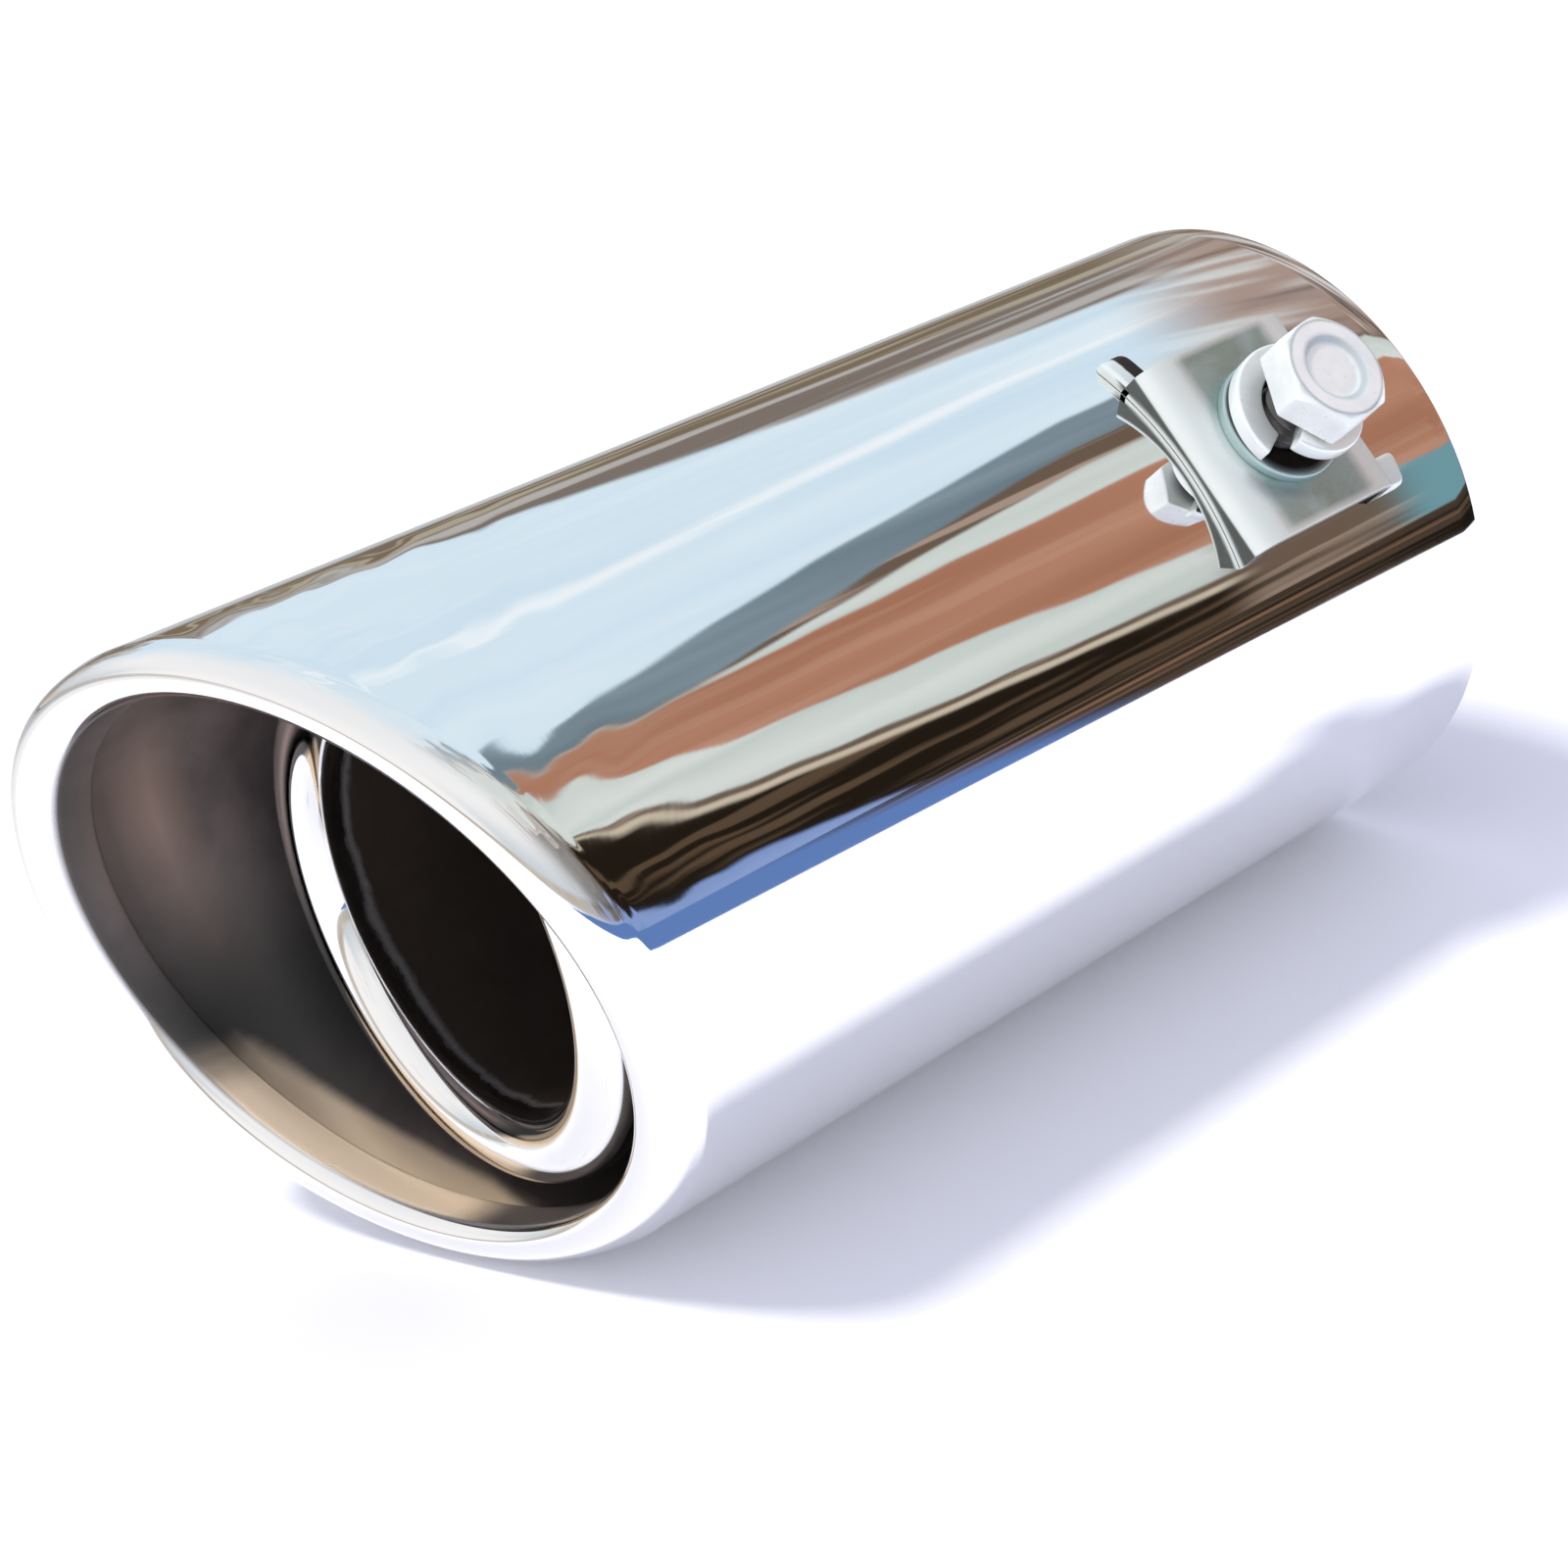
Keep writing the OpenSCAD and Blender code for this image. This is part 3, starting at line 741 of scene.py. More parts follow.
class TIP_OT_brackets(bpy.types.Operator):
    """Two raised clamp brackets, each with two welding lugs on the shell"""

    bl_idname = "tip.brackets"
    bl_label = "Clamp Brackets"

    def execute(self, context):
        """The sheet's outer and inner faces are one path across the tube's length, drawn across its width.

        Each foot ends on the shell's circle, so its height is the root of the radius squared less y squared.
        """
        s, c = context.scene.tip_shell, context.scene.tip_clamp
        foot = mm(s.diameter) / 2 + 0.05
        top = mm(s.diameter) / 2 + mm(c.bracket_rise)
        half, wide = mm(c.bracket_length) / 2, mm(c.bracket_width) / 2
        t, run, drop = mm(c.bracket_wall), mm(c.bend_run), mm(c.bend_drop)
        y = np.concatenate([
            np.linspace(-wide, -6.4, 5)[:-1], np.linspace(-6.4, 6.4, 17), np.linspace(6.4, wide, 5)[1:]
        ])
        ground = np.sqrt(foot**2 - y**2)

        def face(length_half, height, run, drop):
            """One face of the sheet as rows of [x, y, z] from the front foot to the rear foot."""
            wall = np.linspace(0, 1, 7)[:-1][:, None]
            z = ground[None, :] + wall * (height - drop - ground[None, :])
            front = np.stack([np.full(z.shape, -length_half), np.broadcast_to(y, z.shape), z], -1)
            turn = arc(-length_half + run, height - drop, run, drop, 180, 90, 12)
            flat = np.column_stack([np.linspace(-5.0, 5.0, 17), np.full(17, height)])
            half_path = np.vstack([turn, flat[:9]])
            middle = np.vstack([half_path, (half_path * [-1, 1])[::-1][1:]])
            bent = np.stack([
                np.broadcast_to(middle[:, 0][:, None], (len(middle), len(y))),
                np.broadcast_to(y, (len(middle), len(y))),
                np.broadcast_to(middle[:, 1][:, None], (len(middle), len(y))),
            ], -1)
            rear = front[::-1] * [-1, 1, 1]
            return np.vstack([front, bent, rear])

        hole_r = 3.4

        def hole(edge_points):
            unit = edge_points[:, :2] / np.linalg.norm(edge_points[:, :2], axis=1, keepdims=True)
            return np.column_stack([unit * hole_r, edge_points[:, 2]])

        sheets = []
        for inset in (0, t):
            base = face(half - inset, top - inset, run - inset, drop - inset)
            rows, cols = base.shape[:2]
            i0 = 6 + 13
            points, quads, loops = holed_grid(base, [(i0, i0 + 16, 4, 20, hole, 3)])
            border = np.concatenate([
                np.arange(cols), np.arange(1, rows) * cols + cols - 1,
                (rows - 1) * cols + np.arange(cols - 2, -1, -1), np.arange(rows - 2, 0, -1) * cols,
            ])
            sheets.append((points, quads, loops[0], border))
        n = len(sheets[0][0])
        points = np.vstack([sheets[0][0], sheets[1][0]])
        quads = np.vstack([
            sheets[0][1], sheets[1][1][:, ::-1] + n,
            wall_between(sheets[0][2], sheets[1][2] + n),
            wall_between(sheets[0][3], sheets[1][3] + n),
        ])

        broad, slim, overlap = 2.45, 1.6, 1.5
        for cx, cy, hx, hy in (
            (-half + slim, wide - overlap + broad, slim, broad),
            (half - overlap + broad, -wide + slim, broad, slim),
        ):
            pad, pad_faces = lug_pad(cx, cy, hx, hy, foot, 1.1)
            quads = [*map(list, quads), *[[i + len(points) for i in f] for f in pad_faces]]
            points = np.vstack([points, pad])
        x, y, z = points[:, 0], points[:, 1], points[:, 2]
        # Painted shade: the bracket's end walls and the underside of its face are marked near black, for the shade in
        # the gap over the shell.
        over_foot = z - np.sqrt(foot**2 - np.minimum(np.abs(y), wide) ** 2)
        wall = (np.abs(np.abs(x) - half) < 0.02) * np.clip((over_foot - 0.35) / 0.3, 0, 1) * (z < top - drop + 0.3)
        below = (np.hypot(x, 0) < half - t + 0.01) * (z < top - t + 0.02) * (np.arange(len(z)) >= n)
        sooty = np.clip(0.8 * wall + below, 0, 1)
        # Lighter along the bracket's sides and over its bends: partly wear, partly painted highlight where the bends
        # catch the light.
        edge = np.clip(1 - (wide - np.abs(y)) / 0.8, 0, 1)
        edge = np.maximum(edge, np.clip((np.abs(x) - 4.9) / 1.6, 0, 1)) * (1 - sooty)
        put_pair("clamp_bracket", points, quads, "tube", "plated_bracket", "bracket",
                 {"edge": edge, "sooty": sooty}, 50, 0.22)
        return {"FINISHED"}


def capped(rows, cols):
    """Faces of rows of points round an axis whose first and last rows are closed by fans to a pole."""
    n = rows * cols
    faces = grid_faces(rows, cols, False, True).tolist()
    ring = np.arange(cols)
    after = (ring + 1) % cols
    faces += np.column_stack([np.full(cols, n), after, ring]).tolist()
    last = (rows - 1) * cols
    faces += np.column_stack([np.full(cols, n + 1), last + ring, last + after]).tolist()
    return faces


def lug_pad(cx, cy, hx, hy, foot, thick):
    """A welding lug: a rounded rectangle that lies on the shell, its upper edge falling away in a quarter round."""
    cols = 48
    turns = np.arange(cols) * 2 * np.pi / cols
    reach = rounded_box_edge(turns, hx, hy, 0.7)
    q = np.radians(np.linspace(0, 90, 7))
    f = np.concatenate([np.linspace(0.15, 0.7, 5), 0.75 + 0.25 * np.sin(q)])
    drop = np.concatenate([np.zeros(5), 0.5 * (1 - np.cos(q))])
    px = cx + f[:, None] * reach * np.cos(turns)
    py = cy + f[:, None] * reach * np.sin(turns)
    upper = np.stack([px, py, np.sqrt((foot + thick) ** 2 - py**2) - drop[:, None]], -1)
    lower = np.stack([px, py, np.sqrt(foot**2 - py**2)], -1)[::-1]
    poles = [[cx, cy, np.sqrt((foot + thick) ** 2 - cy**2)], [cx, cy, np.sqrt(foot**2 - cy**2)]]
    points = np.vstack([upper.reshape(-1, 3), lower.reshape(-1, 3), poles])
    return points, capped(2 * len(f), cols)


def turned_rows(rows, turns):
    """Points round Z at each row's [radius, height]; either may change with the turn."""
    return np.vstack([np.stack([r * np.cos(turns), r * np.sin(turns), h + 0 * turns], -1) for r, h in rows])


def thread_swing(height, pitch, turns):
    """A thread's profile, 0 to 1 and back once a pitch, shifted evenly round the axis."""
    return np.abs(((height / pitch - turns / (2 * np.pi)) % 1.0) * 2 - 1)


def hex_turns(per_side):
    """Turns round a hexagon, closer together towards its corners."""
    t = np.linspace(-1, 1, per_side + 1)[:-1]
    one = np.radians(30 + 30 * np.sin(t * np.pi / 2))
    return (one[None, :] + np.radians(60) * np.arange(6)[:, None]).reshape(-1)


def hex_reach(turns, flats, corner):
    """Distance from the axis to a hexagon's side, with its corners held to a slightly smaller circle."""
    off = (turns % np.radians(60)) - np.radians(30)
    side = flats / 2 / np.cos(off)
    k = 14.0
    return -np.log(np.exp(-k * side) + np.exp(-k * corner)) / k


class TIP_OT_weld_nuts(bpy.types.Operator):
    """Two thin hexagon nuts under the brackets, with a real thread in the bore"""

    bl_idname = "tip.weld_nuts"
    bl_label = "Weld Nuts"

    def execute(self, context):
        """Rows of radii round the nut's axis; the thread's radius swings with height less the turn."""
        s, c = context.scene.tip_shell, context.scene.tip_clamp
        high = mm(s.diameter) / 2 + mm(c.bracket_rise) - mm(c.bracket_wall) - 0.05
        h, pitch = mm(c.nut_height), mm(c.pitch)
        low = high - h
        turns = hex_turns(18)
        reach = hex_reach(turns, mm(c.hexagon), mm(c.hexagon) / 2 / np.cos(np.pi / 6) - 0.1)
        flat = mm(c.hexagon) / 2 - 0.25
        slope = 0.45 * (reach - flat)
        rows = [(3.0 + 0.22 * thread_swing(z, pitch, turns), z) for z in np.linspace(low + 0.5, high - 0.5, 33)]
        rows += [
            (3.4, high), (flat, high), (reach, high - slope), (reach, (high + low) / 2), (reach, low + slope),
            (flat, low), (3.4, low),
        ]
        points = turned_rows(rows, turns)
        quads = grid_faces(len(rows), len(turns), True, True)
        edge = np.clip(1 - np.abs(np.hypot(points[:, 0], points[:, 1]) - 5.5) / 0.4, 0, 1)
        put_pair("welded_nut", points, quads, "tube", "plated_nut", "weld_nut", {"edge": edge}, 32)
        return {"FINISHED"}


class TIP_OT_washers(bpy.types.Operator):
    """Two split spring washers, wound open, each on a plain washer"""

    bl_idname = "tip.washers"
    bl_label = "Washers"

    def execute(self, context):
        """A square section with rounded corners carried once round a rising circle, with flat cut ends.

        Under it lies a plain washer, a section carried round the same axis.
        """
        s, c = context.scene.tip_shell, context.scene.tip_clamp
        low = mm(s.diameter) / 2 + mm(c.bracket_rise)
        top = low + mm(c.plain_wall)
        t, rise = mm(c.washer_wire), mm(c.washer_rise)
        ri, ro, e = WASHER_BORE, WASHER_RIM, 0.3
        section = path(
            arc(ri + e, t - e, e, e, 180, 90, 4), arc(ro - e, t - e, e, e, 90, 0, 4),
            arc(ro - e, e, e, e, 0, -90, 4), arc(ri + e, e, e, e, -90, -180, 4),
        )
        f = np.concatenate([[0, 0.0025], np.linspace(0.008, 0.992, 130), [0.9975, 1]])
        shrink = np.concatenate([[0.955, 0.99], np.ones(130), [0.99, 0.955]])
        a = np.radians(WASHER_START - WASHER_SPAN * f)
        middle = np.array([(ri + ro) / 2, t / 2])
        sec = middle + (section - middle)[None, :, :] * shrink[:, None, None]
        r, z = sec[..., 0], sec[..., 1] + top + rise * f[:, None]
        points = np.stack([r * np.cos(a)[:, None], r * np.sin(a)[:, None], z], -1).reshape(-1, 3)
        cols = len(section)
        poles = [points[:cols].mean(0), points[-cols:].mean(0)]
        points = np.vstack([points, poles])
        faces = capped(len(f), cols)
        rr = np.hypot(points[:, 0], points[:, 1])
        edge = np.clip(1 - np.minimum(ro - rr, rr - ri) / 0.35, 0, 1)
        # Painted shade: the spring washer's underside and bore are marked near black.
        under = np.tile(section[:, 1] < e, len(f)) & (rr[:-2] < ro - 0.15)
        soot = np.append(((rr[:-2] < ri + 0.1) | under).astype(float), [0, 0])
        flat = path(
            arc(ri + 0.2, top - 0.2, 0.2, 0.2, 180, 90, 4),
            np.column_stack([np.linspace(4, ro - 0.6, 5), np.full(5, top)]),
            arc(ro - e, top - e, e, e, 90, 0, 5),
            arc(ro - 0.15, low + 0.15, 0.15, 0.15, 0, -90, 3), arc(ri + 0.15, low + 0.15, 0.15, 0.15, -90, -180, 3),
        )
        disc = turned_rows(flat, np.arange(120) * 2 * np.pi / 120)
        disc_faces = grid_faces(len(flat), 120, True, True)
        disc_r = np.hypot(disc[:, 0], disc[:, 1])
        disc_edge = np.clip(1 - (ro - disc_r) / 0.35, 0, 1)
        # Painted shade: the plain washer is marked near black inside its rim, under the raised spring washer.
        disc_painted_shade = np.clip((ro - 0.45 - disc_r) / 0.25, 0, 1)
        for side in SIDES:
            put_at(side, "split_washer", points, faces, "tube", "spring_steel", "spring_washer",
                   {"edge": edge, "sooty": soot}, 42)
            put_at(side, "flat_washer", disc, disc_faces, "tube", "plated_nut", "plain_washer",
                   {"edge": disc_edge, "sooty": disc_painted_shade}, 42)
        return {"FINISHED"}


class TIP_OT_screws(bpy.types.Operator):
    """Two clamp screws: chamfered hexagon head with a dish, cut thread, and riveted end"""

    bl_idname = "tip.screws"
    bl_label = "Clamp Screws"

    def execute(self, context):
        """Rows of radii round the screw's axis, from the riveted end up to the middle of the dish."""
        s, c = context.scene.tip_shell, context.scene.tip_clamp
        stack = (c.bracket_rise, c.plain_wall, c.washer_wire, c.washer_rise)
        seat = mm(s.diameter) / 2 + sum(map(mm, stack)) + 0.1
        jaw, wall = mm(c.jaw_radius), mm(c.jaw_wall)
        head, dish, pitch = mm(c.head_height), mm(c.dish_depth), mm(c.pitch)
        tip = jaw + wall + 0.5 + 0.1
        face = jaw + 0.1
        turns = hex_turns(24)
        corner = mm(c.hexagon) / 2 / np.cos(np.pi / 6)
        reach = hex_reach(turns, mm(c.hexagon), corner - 0.06)
        rows = [
            (0.8, face + 0.25), (1.8, face + 0.18), (2.5, face + 0.06), (2.7, face + 0.12), (2.8, face + 0.25),
            (2.8, face + 0.55), (2.7, face + 0.68), (2.0, face + 0.7), (2.0, tip + 0.01),
        ]
        for k in np.arange(tip + 0.02, seat - 0.6, pitch / 8):
            crest = np.clip(thread_swing(k, pitch, turns) * 1.25 - 0.05, 0, 1)
            lead = np.clip((k - tip) / 0.6, 0, 1)
            rows.append((np.minimum(2.95 - 0.5 * (1 - crest), 2.3 + 0.65 * lead), k))
        top_r = mm(c.hexagon) / 2 - 0.05
        top = seat + head
        fall = 0.9 * (reach - top_r) / (corner - top_r)
        crown = top_r - 0.2
        rows += [
            (2.6, seat - 0.3), (2.93, seat + 0.02), (4.5, seat + 0.02), (reach - 0.10, seat + 0.08),
            (reach, seat + 0.22), (reach, seat + 0.5 * head), (reach, top - fall - 0.20),
            (reach - 0.03, top - fall - 0.09), (reach - 0.10, top - fall - 0.03),
            ((reach - 0.10 + crown) / 2, top - fall / 2), (crown, top), ((crown + 4.4) / 2, top), (4.4, top),
        ]
        sweep = np.linspace(4.2, 0.25, 16)
        k = np.clip((sweep - 2.4) / 1.1, 0, 1)
        rows += list(zip(sweep, top - dish * (1 - k * k * (3 - 2 * k))))
        points = turned_rows(rows, turns)
        turn = np.array([[np.cos(c.head_turn), -np.sin(c.head_turn)], [np.sin(c.head_turn), np.cos(c.head_turn)]])
        above = points[:, 2] > seat - 0.2
        points[above, :2] = points[above, :2] @ turn.T
        points = np.vstack([points, [[0, 0, face + 0.27], [0, 0, top - dish]]])
        faces = capped(len(rows), len(turns))
        rr = np.hypot(points[:, 0], points[:, 1])
        edge = np.clip(1 - np.abs(rr - corner) / 0.35, 0, 1) * (points[:, 2] > seat)
        # Painted shade: the shank and the middle of the head's underside are marked near black.
        sooty = 0.9 * (points[:, 2] < seat + 0.03) * (rr < 4.4)
        # Painted shade: dark rings at the edge of the head's top and round its dish.
        line = np.exp(-((rr - top_r + 0.22) / 0.12) ** 2) + 0.8 * np.exp(-((rr - 3.0) / 0.30) ** 2)
        line = line * (points[:, 2] > top - 0.45)
        put_pair("hexagon_screw", points, faces, "screw", "plated_screw", "clamp_screw",
                 {"edge": edge, "sooty": sooty, "line": line}, 32)
        return {"FINISHED"}


class TIP_OT_jaws(bpy.types.Operator):
    """Two curved jaws with a flat boss over the riveted end of the screw"""

    bl_idname = "tip.jaws"
    bl_label = "Jaws"

    def execute(self, context):
        """Rings from the hole out to a rectangle's edge, back under, and up through the recess.

        A ring's height is the root of the face's radius squared less y squared; the boss is added as a smooth step.
        """
        c = context.scene.tip_clamp
        r, t = mm(c.jaw_radius), mm(c.jaw_wall)
        boss, half_x, half_y = r + t + 0.5, 10.0, 12.0
        cols = 144
        turns = np.arange(cols) * 2 * np.pi / cols
        reach = rounded_box_edge(turns, half_x, half_y, 1.6)
        c_, s_ = np.cos(turns), np.sin(turns)

        def ring(radius, kind, drop=0.0):
            x, y = radius * c_, radius * s_
            if kind == "top":
                crown = np.sqrt((r + t) ** 2 - y**2)
                k = np.clip((4.95 - np.hypot(x, y)) / 0.9, 0, 1)
                k = k * k * (3 - 2 * k)
                z = crown * (1 - k) + boss * k - drop
            elif kind == "under":
                z = np.sqrt(r**2 - y**2) + drop
            else:
                z = np.full(cols, float(kind))
            return np.stack([x, y, z], -1)

        rows = [ring(k, "top") for k in (2.25, 3.0, *np.linspace(3.8, 5.2, 9))]
        rows += [ring(5.2 + (reach - 5.2) * f, "top") for f in np.linspace(0.06, 0.985, 18)]
        rows += [ring(reach * 0.995, "top", 0.07), ring(reach, "top", 0.25), ring(reach, "under", 0.25)]
        rows += [ring(reach * 0.995, "under", 0.07)]
        rows += [ring(3.2 + (reach - 3.2) * f, "under") for f in np.linspace(0.98, 0.0, 18)]
        rows += [ring(2.87, "under", 0.25), ring(2.87, r + 0.9), ring(2.07, r + 0.9), ring(2.07, boss - 0.2)]
        points = np.vstack(rows)
        quads = grid_faces(len(rows), cols, True, True)
        q = np.hypot(points[:, 0], points[:, 1]) / np.tile(reach, len(rows))
        edge = np.clip((q - 0.95) / 0.05, 0, 1)
        put_pair("curved_jaw", points, quads, "jaw", "jaw_steel", "jaw", {"edge": edge}, 40)
        return {"FINISHED"}


# Stage

def glowing(name, paint):
    """A material that gives off the colour which a function works out in its tree."""
    material = bpy.data.materials.new(name)
    material.use_nodes = True
    n = Nodes(material.node_tree)
    n.tree.nodes.clear()
    glow = n.add("Emission")
    n.link(paint(n), glow.inputs["Color"])
    n.link(glow.outputs[0], n.add("OutputMaterial").inputs["Surface"])
    return material


def room_colour(n):
    """Soft bands of colour on the dome that polished metal reflects.

    A point's turn is its angle about X from straight up, negative towards the camera's side, in degrees.
    Its run is X over its distance. Each band's edge is a turn that changes with the run.
    """
    place = n.place()
    x, y, z = n.parts(place)
    reach = n.vector("LENGTH", place)
    run = n.math("DIVIDE", x, reach)
    turn = n.math("DEGREES", n.math("ARCTAN2", y, z))
    wobble = n.sub(n.noise(n.vector("NORMALIZE", place), 3.5, 3.0, 0.55), 0.5)
    turn = n.muladd(wobble, n.muladd(n.step(run, 0.40, 0.50, 1.0, 0.0), 16.0, 4.5), turn)
    lobes = n.sub(n.noise(n.spot(n.mul(run, 34.0), n.mul(turn, 0.06)), 1.0, 1.0, 0.5), 0.5)
    turn = n.muladd(lobes, n.step(run, 0.41, 0.50, 34.0, 1.5), turn)

    def streaks(across, along, low, high):
        """Mask of lines that follow the bands: noise read at the turn times one rate and the run times another."""
        return n.step(n.noise(n.spot(n.mul(turn, across), n.mul(run, along)), 1.0, 2.0, 0.55), low, high)

    def edge(stops, soft):
        """Mask that is 1 above a band's edge, the edge running through the given (run, turn) stops."""
        value = stops[0][1]
        for (r0, t0), (r1, t1) in zip(stops, stops[1:]):
            part = n.step(run, r0, r1, 0.0, t1 - t0, "LINEAR")
            value = n.math("ADD", value, part)
        return n.step(turn, n.sub(value, soft), n.math("ADD", value, soft))

    def over(under, *bands):
        """Lays bands over a colour, each from its own edge upwards."""
        for stops, soft, shade in bands:
            under = n.mix(edge(stops, soft), under, shade)
        return under

    fine = streaks(0.07, 2.0, 0.25, 0.75)
    thin = streaks(0.20, 3.5, 0.50, 0.60)
    wide = streaks(0.11, 3.0, 0.44, 0.58)
    dark = n.mix(thin, (0.016, 0.011, 0.007), (0.100, 0.065, 0.040))
    pale = n.mix(fine, (0.50, 0.56, 0.52), (0.74, 0.79, 0.76))
    clay = n.mix(fine, (0.38, 0.17, 0.10), (0.50, 0.25, 0.165))
    clay = n.mix(n.mul(thin, 0.18), clay, (0.62, 0.42, 0.32))
    brown = n.mix(thin, (0.15, 0.105, 0.075), (0.40, 0.30, 0.24))
    steel = n.mix(fine, (0.13, 0.185, 0.22), (0.28, 0.36, 0.41))
    sky = n.mix(fine, (0.62, 0.78, 0.90), (0.76, 0.88, 0.95))
    grey = n.mix(wide, (0.21, 0.175, 0.15), (0.47, 0.45, 0.43))
    khaki = n.mix(thin, (0.20, 0.155, 0.105), (0.42, 0.37, 0.29))
    blue = n.mix(fine, (0.13, 0.23, 0.52), (0.30, 0.40, 0.68))
    glare = n.mix(thin, (0.90, 0.96, 1.0), (0.80, 0.90, 0.96))
    tone = over(
        blue,
        ([(0.40, -84), (0.50, -86), (0.58, -93)], 0.8, dark),
        ([(0.40, -59), (0.50, -70), (0.58, -75), (0.74, -84)], 0.8, (0.60, 0.52, 0.40)),
        ([(0.40, -57.4), (0.50, -68), (0.58, -73), (0.74, -82)], 0.5, brown),
        ([(0.40, -55), (0.50, -66), (0.58, -71), (0.74, -80)], 0.6, pale),
    )
    tone = n.mix(n.mul(n.step(run, 0.668, 0.685), n.step(wide, 0.0, 1.0, 0.5, 1.0)), tone, brown)
    tone = n.mix(n.step(run, 0.72, 0.735), tone, (0.16, 0.33, 0.38))
    tone = over(
        tone,
        ([(0.40, -36), (0.50, -52), (0.60, -58), (0.74, -71)], 0.6, clay),
        ([(0.40, -35), (0.50, -33), (0.65, -31)], 0.7, pale),
        ([(0.40, -35), (0.50, -32.5), (0.65, -21)], 0.8, brown),
        ([(0.40, -35), (0.50, -32), (0.65, -13)], 0.8, steel),
        ([(0.42, -28), (0.65, 0)], 1.0, sky),
        ([(0.42, 10), (0.65, 24)], 2.5, glare),
        ([(0.42, 14), (0.65, 29)], 3.0, sky),
        ([(0.42, 72), (0.58, 52), (0.74, 41)], 1.8, grey),
        ([(0.42, 82), (0.74, 66)], 1.5, khaki),
    )
    spot = n.spot(n.muladd(run, 34.0, n.mul(turn, 0.085)), n.muladd(run, 3.0, n.mul(turn, -0.008)))
    rear = n.noise(spot, 1.0, 2.0, 0.6)
    rear_pale = n.mix(n.step(rear, 0.50, 0.58), (0.40, 0.28, 0.23), (0.66, 0.66, 0.64))
    rear = n.mix(n.step(rear, 0.36, 0.46), (0.15, 0.12, 0.105), rear_pale)
    at_rear = n.mul(n.step(run, 0.675, 0.715), edge([(0.68, -8), (0.72, -18)], 5.0))
    at_rear = n.mul(at_rear, n.step(turn, 40.0, 75.0, 1.0, 0.3))
    tone = n.mix(n.mul(at_rear, 0.95), tone, rear)
    # The side of the room that the mouth faces is pale, with a warm grey line where it meets the floor.
    rise = n.math("DIVIDE", z, reach)
    white = n.mix(n.step(rise, 0.30, 1.0), (0.98, 0.965, 0.955), (0.88, 0.89, 0.90))
    low = n.mul(n.step(rise, 0.05, 0.62, 0.75, 0.0), n.step(run, -0.85, -0.65))
    white = n.mix(n.mul(low, n.step(run, -0.30, -0.05, 1.0, 0.35)), white, (0.50, 0.58, 0.64))
    line = n.mul(n.step(rise, -0.02, 0.02), n.step(rise, 0.07, 0.13, 1.0, 0.0))
    white = n.mix(line, white, n.mix(fine, (0.50, 0.44, 0.37), (0.68, 0.62, 0.55)))
    return n.mix(n.step(run, -0.35, 0.20), white, tone)


def table_colour(n):
    """A glowing card that only the metal's reflections show: dark wood whose grain runs along the table's slanting
    edge, blue at the end that the mouth's side reflects.
    """
    place = n.place()
    x, y, _ = n.parts(place)
    deep = n.muladd(y, -0.678, n.muladd(x, 0.735, -0.244))
    line = n.noise(n.spot(n.mul(deep, 5.0), n.math("ADD", x, y)), 1.0, 4.0, 0.6)
    wood = n.mix(n.step(line, 0.44, 0.52), (0.012, 0.009, 0.006), (0.075, 0.052, 0.036))
    wood = n.mix(n.step(line, 0.56, 0.62), wood, (0.23, 0.125, 0.075))
    strip = n.step(n.math("DIVIDE", x, n.vector("LENGTH", place)), 0.46, 0.56, 1.0, 0.0)
    return n.mix(strip, wood, (0.12, 0.22, 0.50))


def shaded_colour(n):
    """Floor behind the tip, darker with its distance from the tube's line."""
    y = n.parts(n.place())[1]
    tone = n.mix(n.step(y, 0.09, 0.35), (0.96, 0.955, 0.95), (0.56, 0.565, 0.58))
    return n.mix(n.step(y, 0.3, 1.6), tone, (0.27, 0.265, 0.26))


def seen_rays(n):
    """1 for the rays that show a surface as it is: camera, glossy and transmission rays."""
    rays = n.add("LightPath")
    seen = n.math("MAXIMUM", rays.outputs["Is Camera Ray"], rays.outputs["Is Glossy Ray"])
    return n.math("MAXIMUM", seen, rays.outputs["Is Transmission Ray"])


def lift(n, surface, strength):
    """Adds white light to a surface for camera, glossy and transmission rays alone."""
    glow = n.add("Emission")
    n.link(n.mul(seen_rays(n), strength), glow.inputs["Strength"])
    add = n.add("AddShader")
    n.link(surface, add.inputs[0])
    n.link(glow.outputs[0], add.inputs[1])
    return add.outputs[0]


def stage_piece(name, points, faces, material):
    """Puts points in metres and faces into a mesh object of the stage."""
    mesh = bpy.data.meshes.new(name)
    mesh.from_pydata(points, [], faces)
    mesh.materials.append(material)
    piece = bpy.data.objects.new(name, mesh)
    bpy.context.scene.collection.objects.link(piece)
    return piece


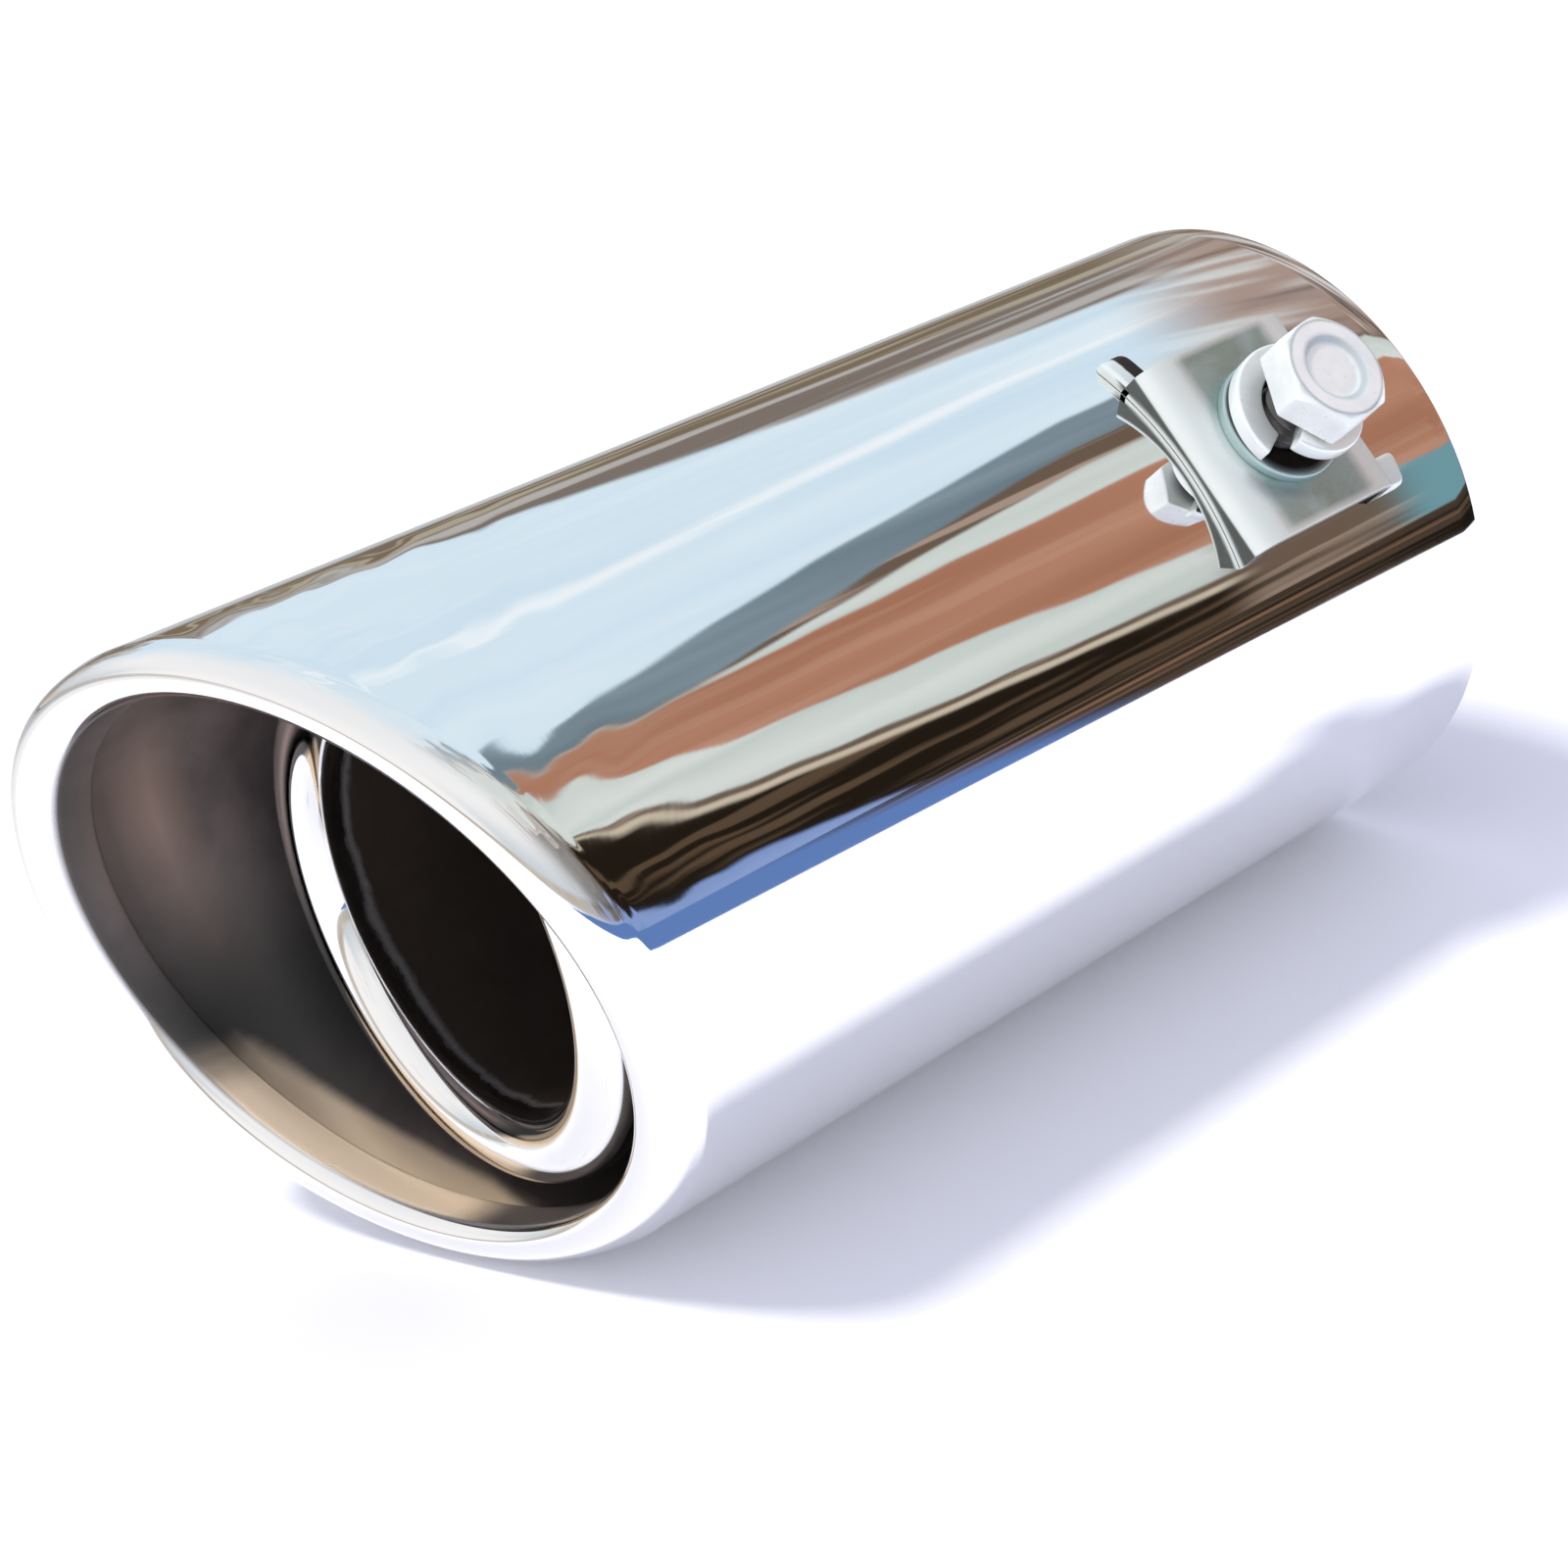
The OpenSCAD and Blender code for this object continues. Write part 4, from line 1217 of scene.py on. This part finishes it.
class TIP_OT_stage(bpy.types.Operator):
    """Pale floor, soft key lamp, the room that the metal reflects, and the camera"""

    bl_idname = "tip.stage"
    bl_label = "Stage"

    def execute(self, context):
        scene = context.scene
        stage = scene.tip_stage
        ground = CAD_BOX[0].z

        material = bpy.data.materials.new("pale_floor")
        material.use_nodes = True
        n = Nodes(material.node_tree)
        shader = material.node_tree.nodes["Principled BSDF"]
        shader.inputs["Base Color"].default_value = (*scene.tip_finishes.floor, 1.0)
        shader.inputs["Roughness"].default_value = 0.9
        shader.inputs["Specular IOR Level"].default_value = 0.0
        out = material.node_tree.nodes["Material Output"]
        n.link(lift(n, shader.outputs[0], 0.05), out.inputs["Surface"])
        w, z = FLOOR_HALF, ground
        floor = stage_piece("floor", [(-w, -w, z), (w, -w, z), (w, w, z), (-w, w, z)], [(0, 1, 2, 3)], material)

        z = ground + CARD_LIFT
        table = stage_piece(
            "dark_table_edge", [(-0.6, -1.01, z), (0.6, 0.29, z), (2.8, 0.29, z), (2.8, -2.9, z), (-0.6, -2.9, z)],
            [(0, 1, 2, 3, 4)], glowing("dark_table", table_colour))
        back = stage_piece(
            "shaded_floor", [(-1.2, 0.08, z), (0.6, 0.08, z), (2.6, 2.9, z), (-2.9, 2.9, z)],
            [(0, 1, 2, 3)], glowing("floor_out_of_light", shaded_colour))

        a = np.radians(np.linspace(0, 360, 97)[:-1])
        e = np.radians(np.linspace(-88, 88, 45))
        ball = np.stack([
            np.cos(e)[:, None] * np.cos(a), np.cos(e)[:, None] * np.sin(a), np.sin(e)[:, None] + 0 * a
        ], -1).reshape(-1, 3) * ROOM_RADIUS
        ball = np.vstack([ball, [[0, 0, -ROOM_RADIUS], [0, 0, ROOM_RADIUS]]])
        room = stage_piece("reflected_room", ball.tolist(), capped(45, 96), glowing("reflected_room", room_colour))
        for o in (table, back, room):
            o.visible_camera = False
            o.visible_diffuse = False
            o.visible_transmission = False
            o.visible_shadow = False
            o.visible_volume_scatter = False

        world = bpy.data.worlds.new("studio")
        world.use_nodes = True
        n = Nodes(world.node_tree)
        n.tree.nodes.clear()
        soft, white, both = n.add("Background"), n.add("Background"), n.add("MixShader")
        soft.inputs["Color"].default_value = (*stage.shade, 1.0)
        white.inputs["Color"].default_value = (1.0, 1.0, 1.0, 1.0)
        for socket, source in zip(both.inputs, (seen_rays(n), soft.outputs[0], white.outputs[0])):
            n.link(source, socket)
        n.link(both.outputs[0], n.add("OutputWorld").inputs["Surface"])
        scene.world = world

        key = bpy.data.lights.new("key", "SUN")
        key.angle = np.radians(9)
        key.energy = stage.key_power
        key.color = (1.0, 0.965, 0.92)
        lamp = bpy.data.objects.new("key", key)
        at = Vector((-0.45, 0.20, 1.0))
        lamp.matrix_world = Matrix.Translation(at) @ at.to_track_quat("Z", "Y").to_matrix().to_4x4()
        lamp.visible_glossy = False
        scene.collection.objects.link(lamp)

        camera = bpy.data.cameras.new("camera")
        camera.sensor_width = 36.0
        camera.lens = stage.lens
        camera.clip_start = 0.01
        camera.clip_end = 50.0
        eye = bpy.data.objects.new("camera", camera)
        right = Vector((0.7504, -0.6400, -0.1655))
        up = Vector((0.3847, 0.2192, 0.8966))
        behind = Vector((-0.5375, -0.7365, 0.4107))
        place = Vector((-0.17452, -0.18135, 0.09783))
        eye.matrix_world = Matrix.Translation(place) @ Matrix((right, up, behind)).transposed().to_4x4()
        scene.collection.objects.link(eye)
        scene.camera = eye
        scene.view_settings.view_transform = "Standard"
        return {"FINISHED"}


class TIP_PT_panel(bpy.types.Panel):
    """Lists the pieces and the stage"""

    bl_idname = "TIP_PT_panel"
    bl_label = "Exhaust Tip"
    bl_space_type = "VIEW_3D"
    bl_region_type = "UI"
    bl_category = "Exhaust Tip"

    def draw(self, context):
        for step in STEPS:
            self.layout.operator(step.bl_idname, text=step.bl_label)
        for name in GROUPS:
            group = getattr(context.scene, name)
            box = self.layout.box()
            for key in group.__annotations__:
                box.prop(group, key)


GROUPS = {"tip_shell": TipShellSizes, "tip_clamp": TipClampSizes, "tip_finishes": TipFinishes, "tip_stage": TipStage}
STEPS = (
    TIP_OT_shell, TIP_OT_inner_tube, TIP_OT_support_ring, TIP_OT_brackets, TIP_OT_weld_nuts,
    TIP_OT_washers, TIP_OT_screws, TIP_OT_jaws, TIP_OT_stage,
)


def register():
    """Registers the classes and their settings."""
    for kind in (*GROUPS.values(), *STEPS, TIP_PT_panel):
        bpy.utils.register_class(kind)
    for key, kind in GROUPS.items():
        setattr(bpy.types.Scene, key, PointerProperty(type=kind))


def unregister():
    """Removes the settings and the classes."""
    for key in GROUPS:
        delattr(bpy.types.Scene, key)
    for kind in reversed((*GROUPS.values(), *STEPS, TIP_PT_panel)):
        bpy.utils.unregister_class(kind)


def main():
    """Builds every piece and the stage."""
    register()
    for step in STEPS:
        group, name = step.bl_idname.split(".")
        getattr(getattr(bpy.ops, group), name)()


if __name__ == "__main__":
    main()
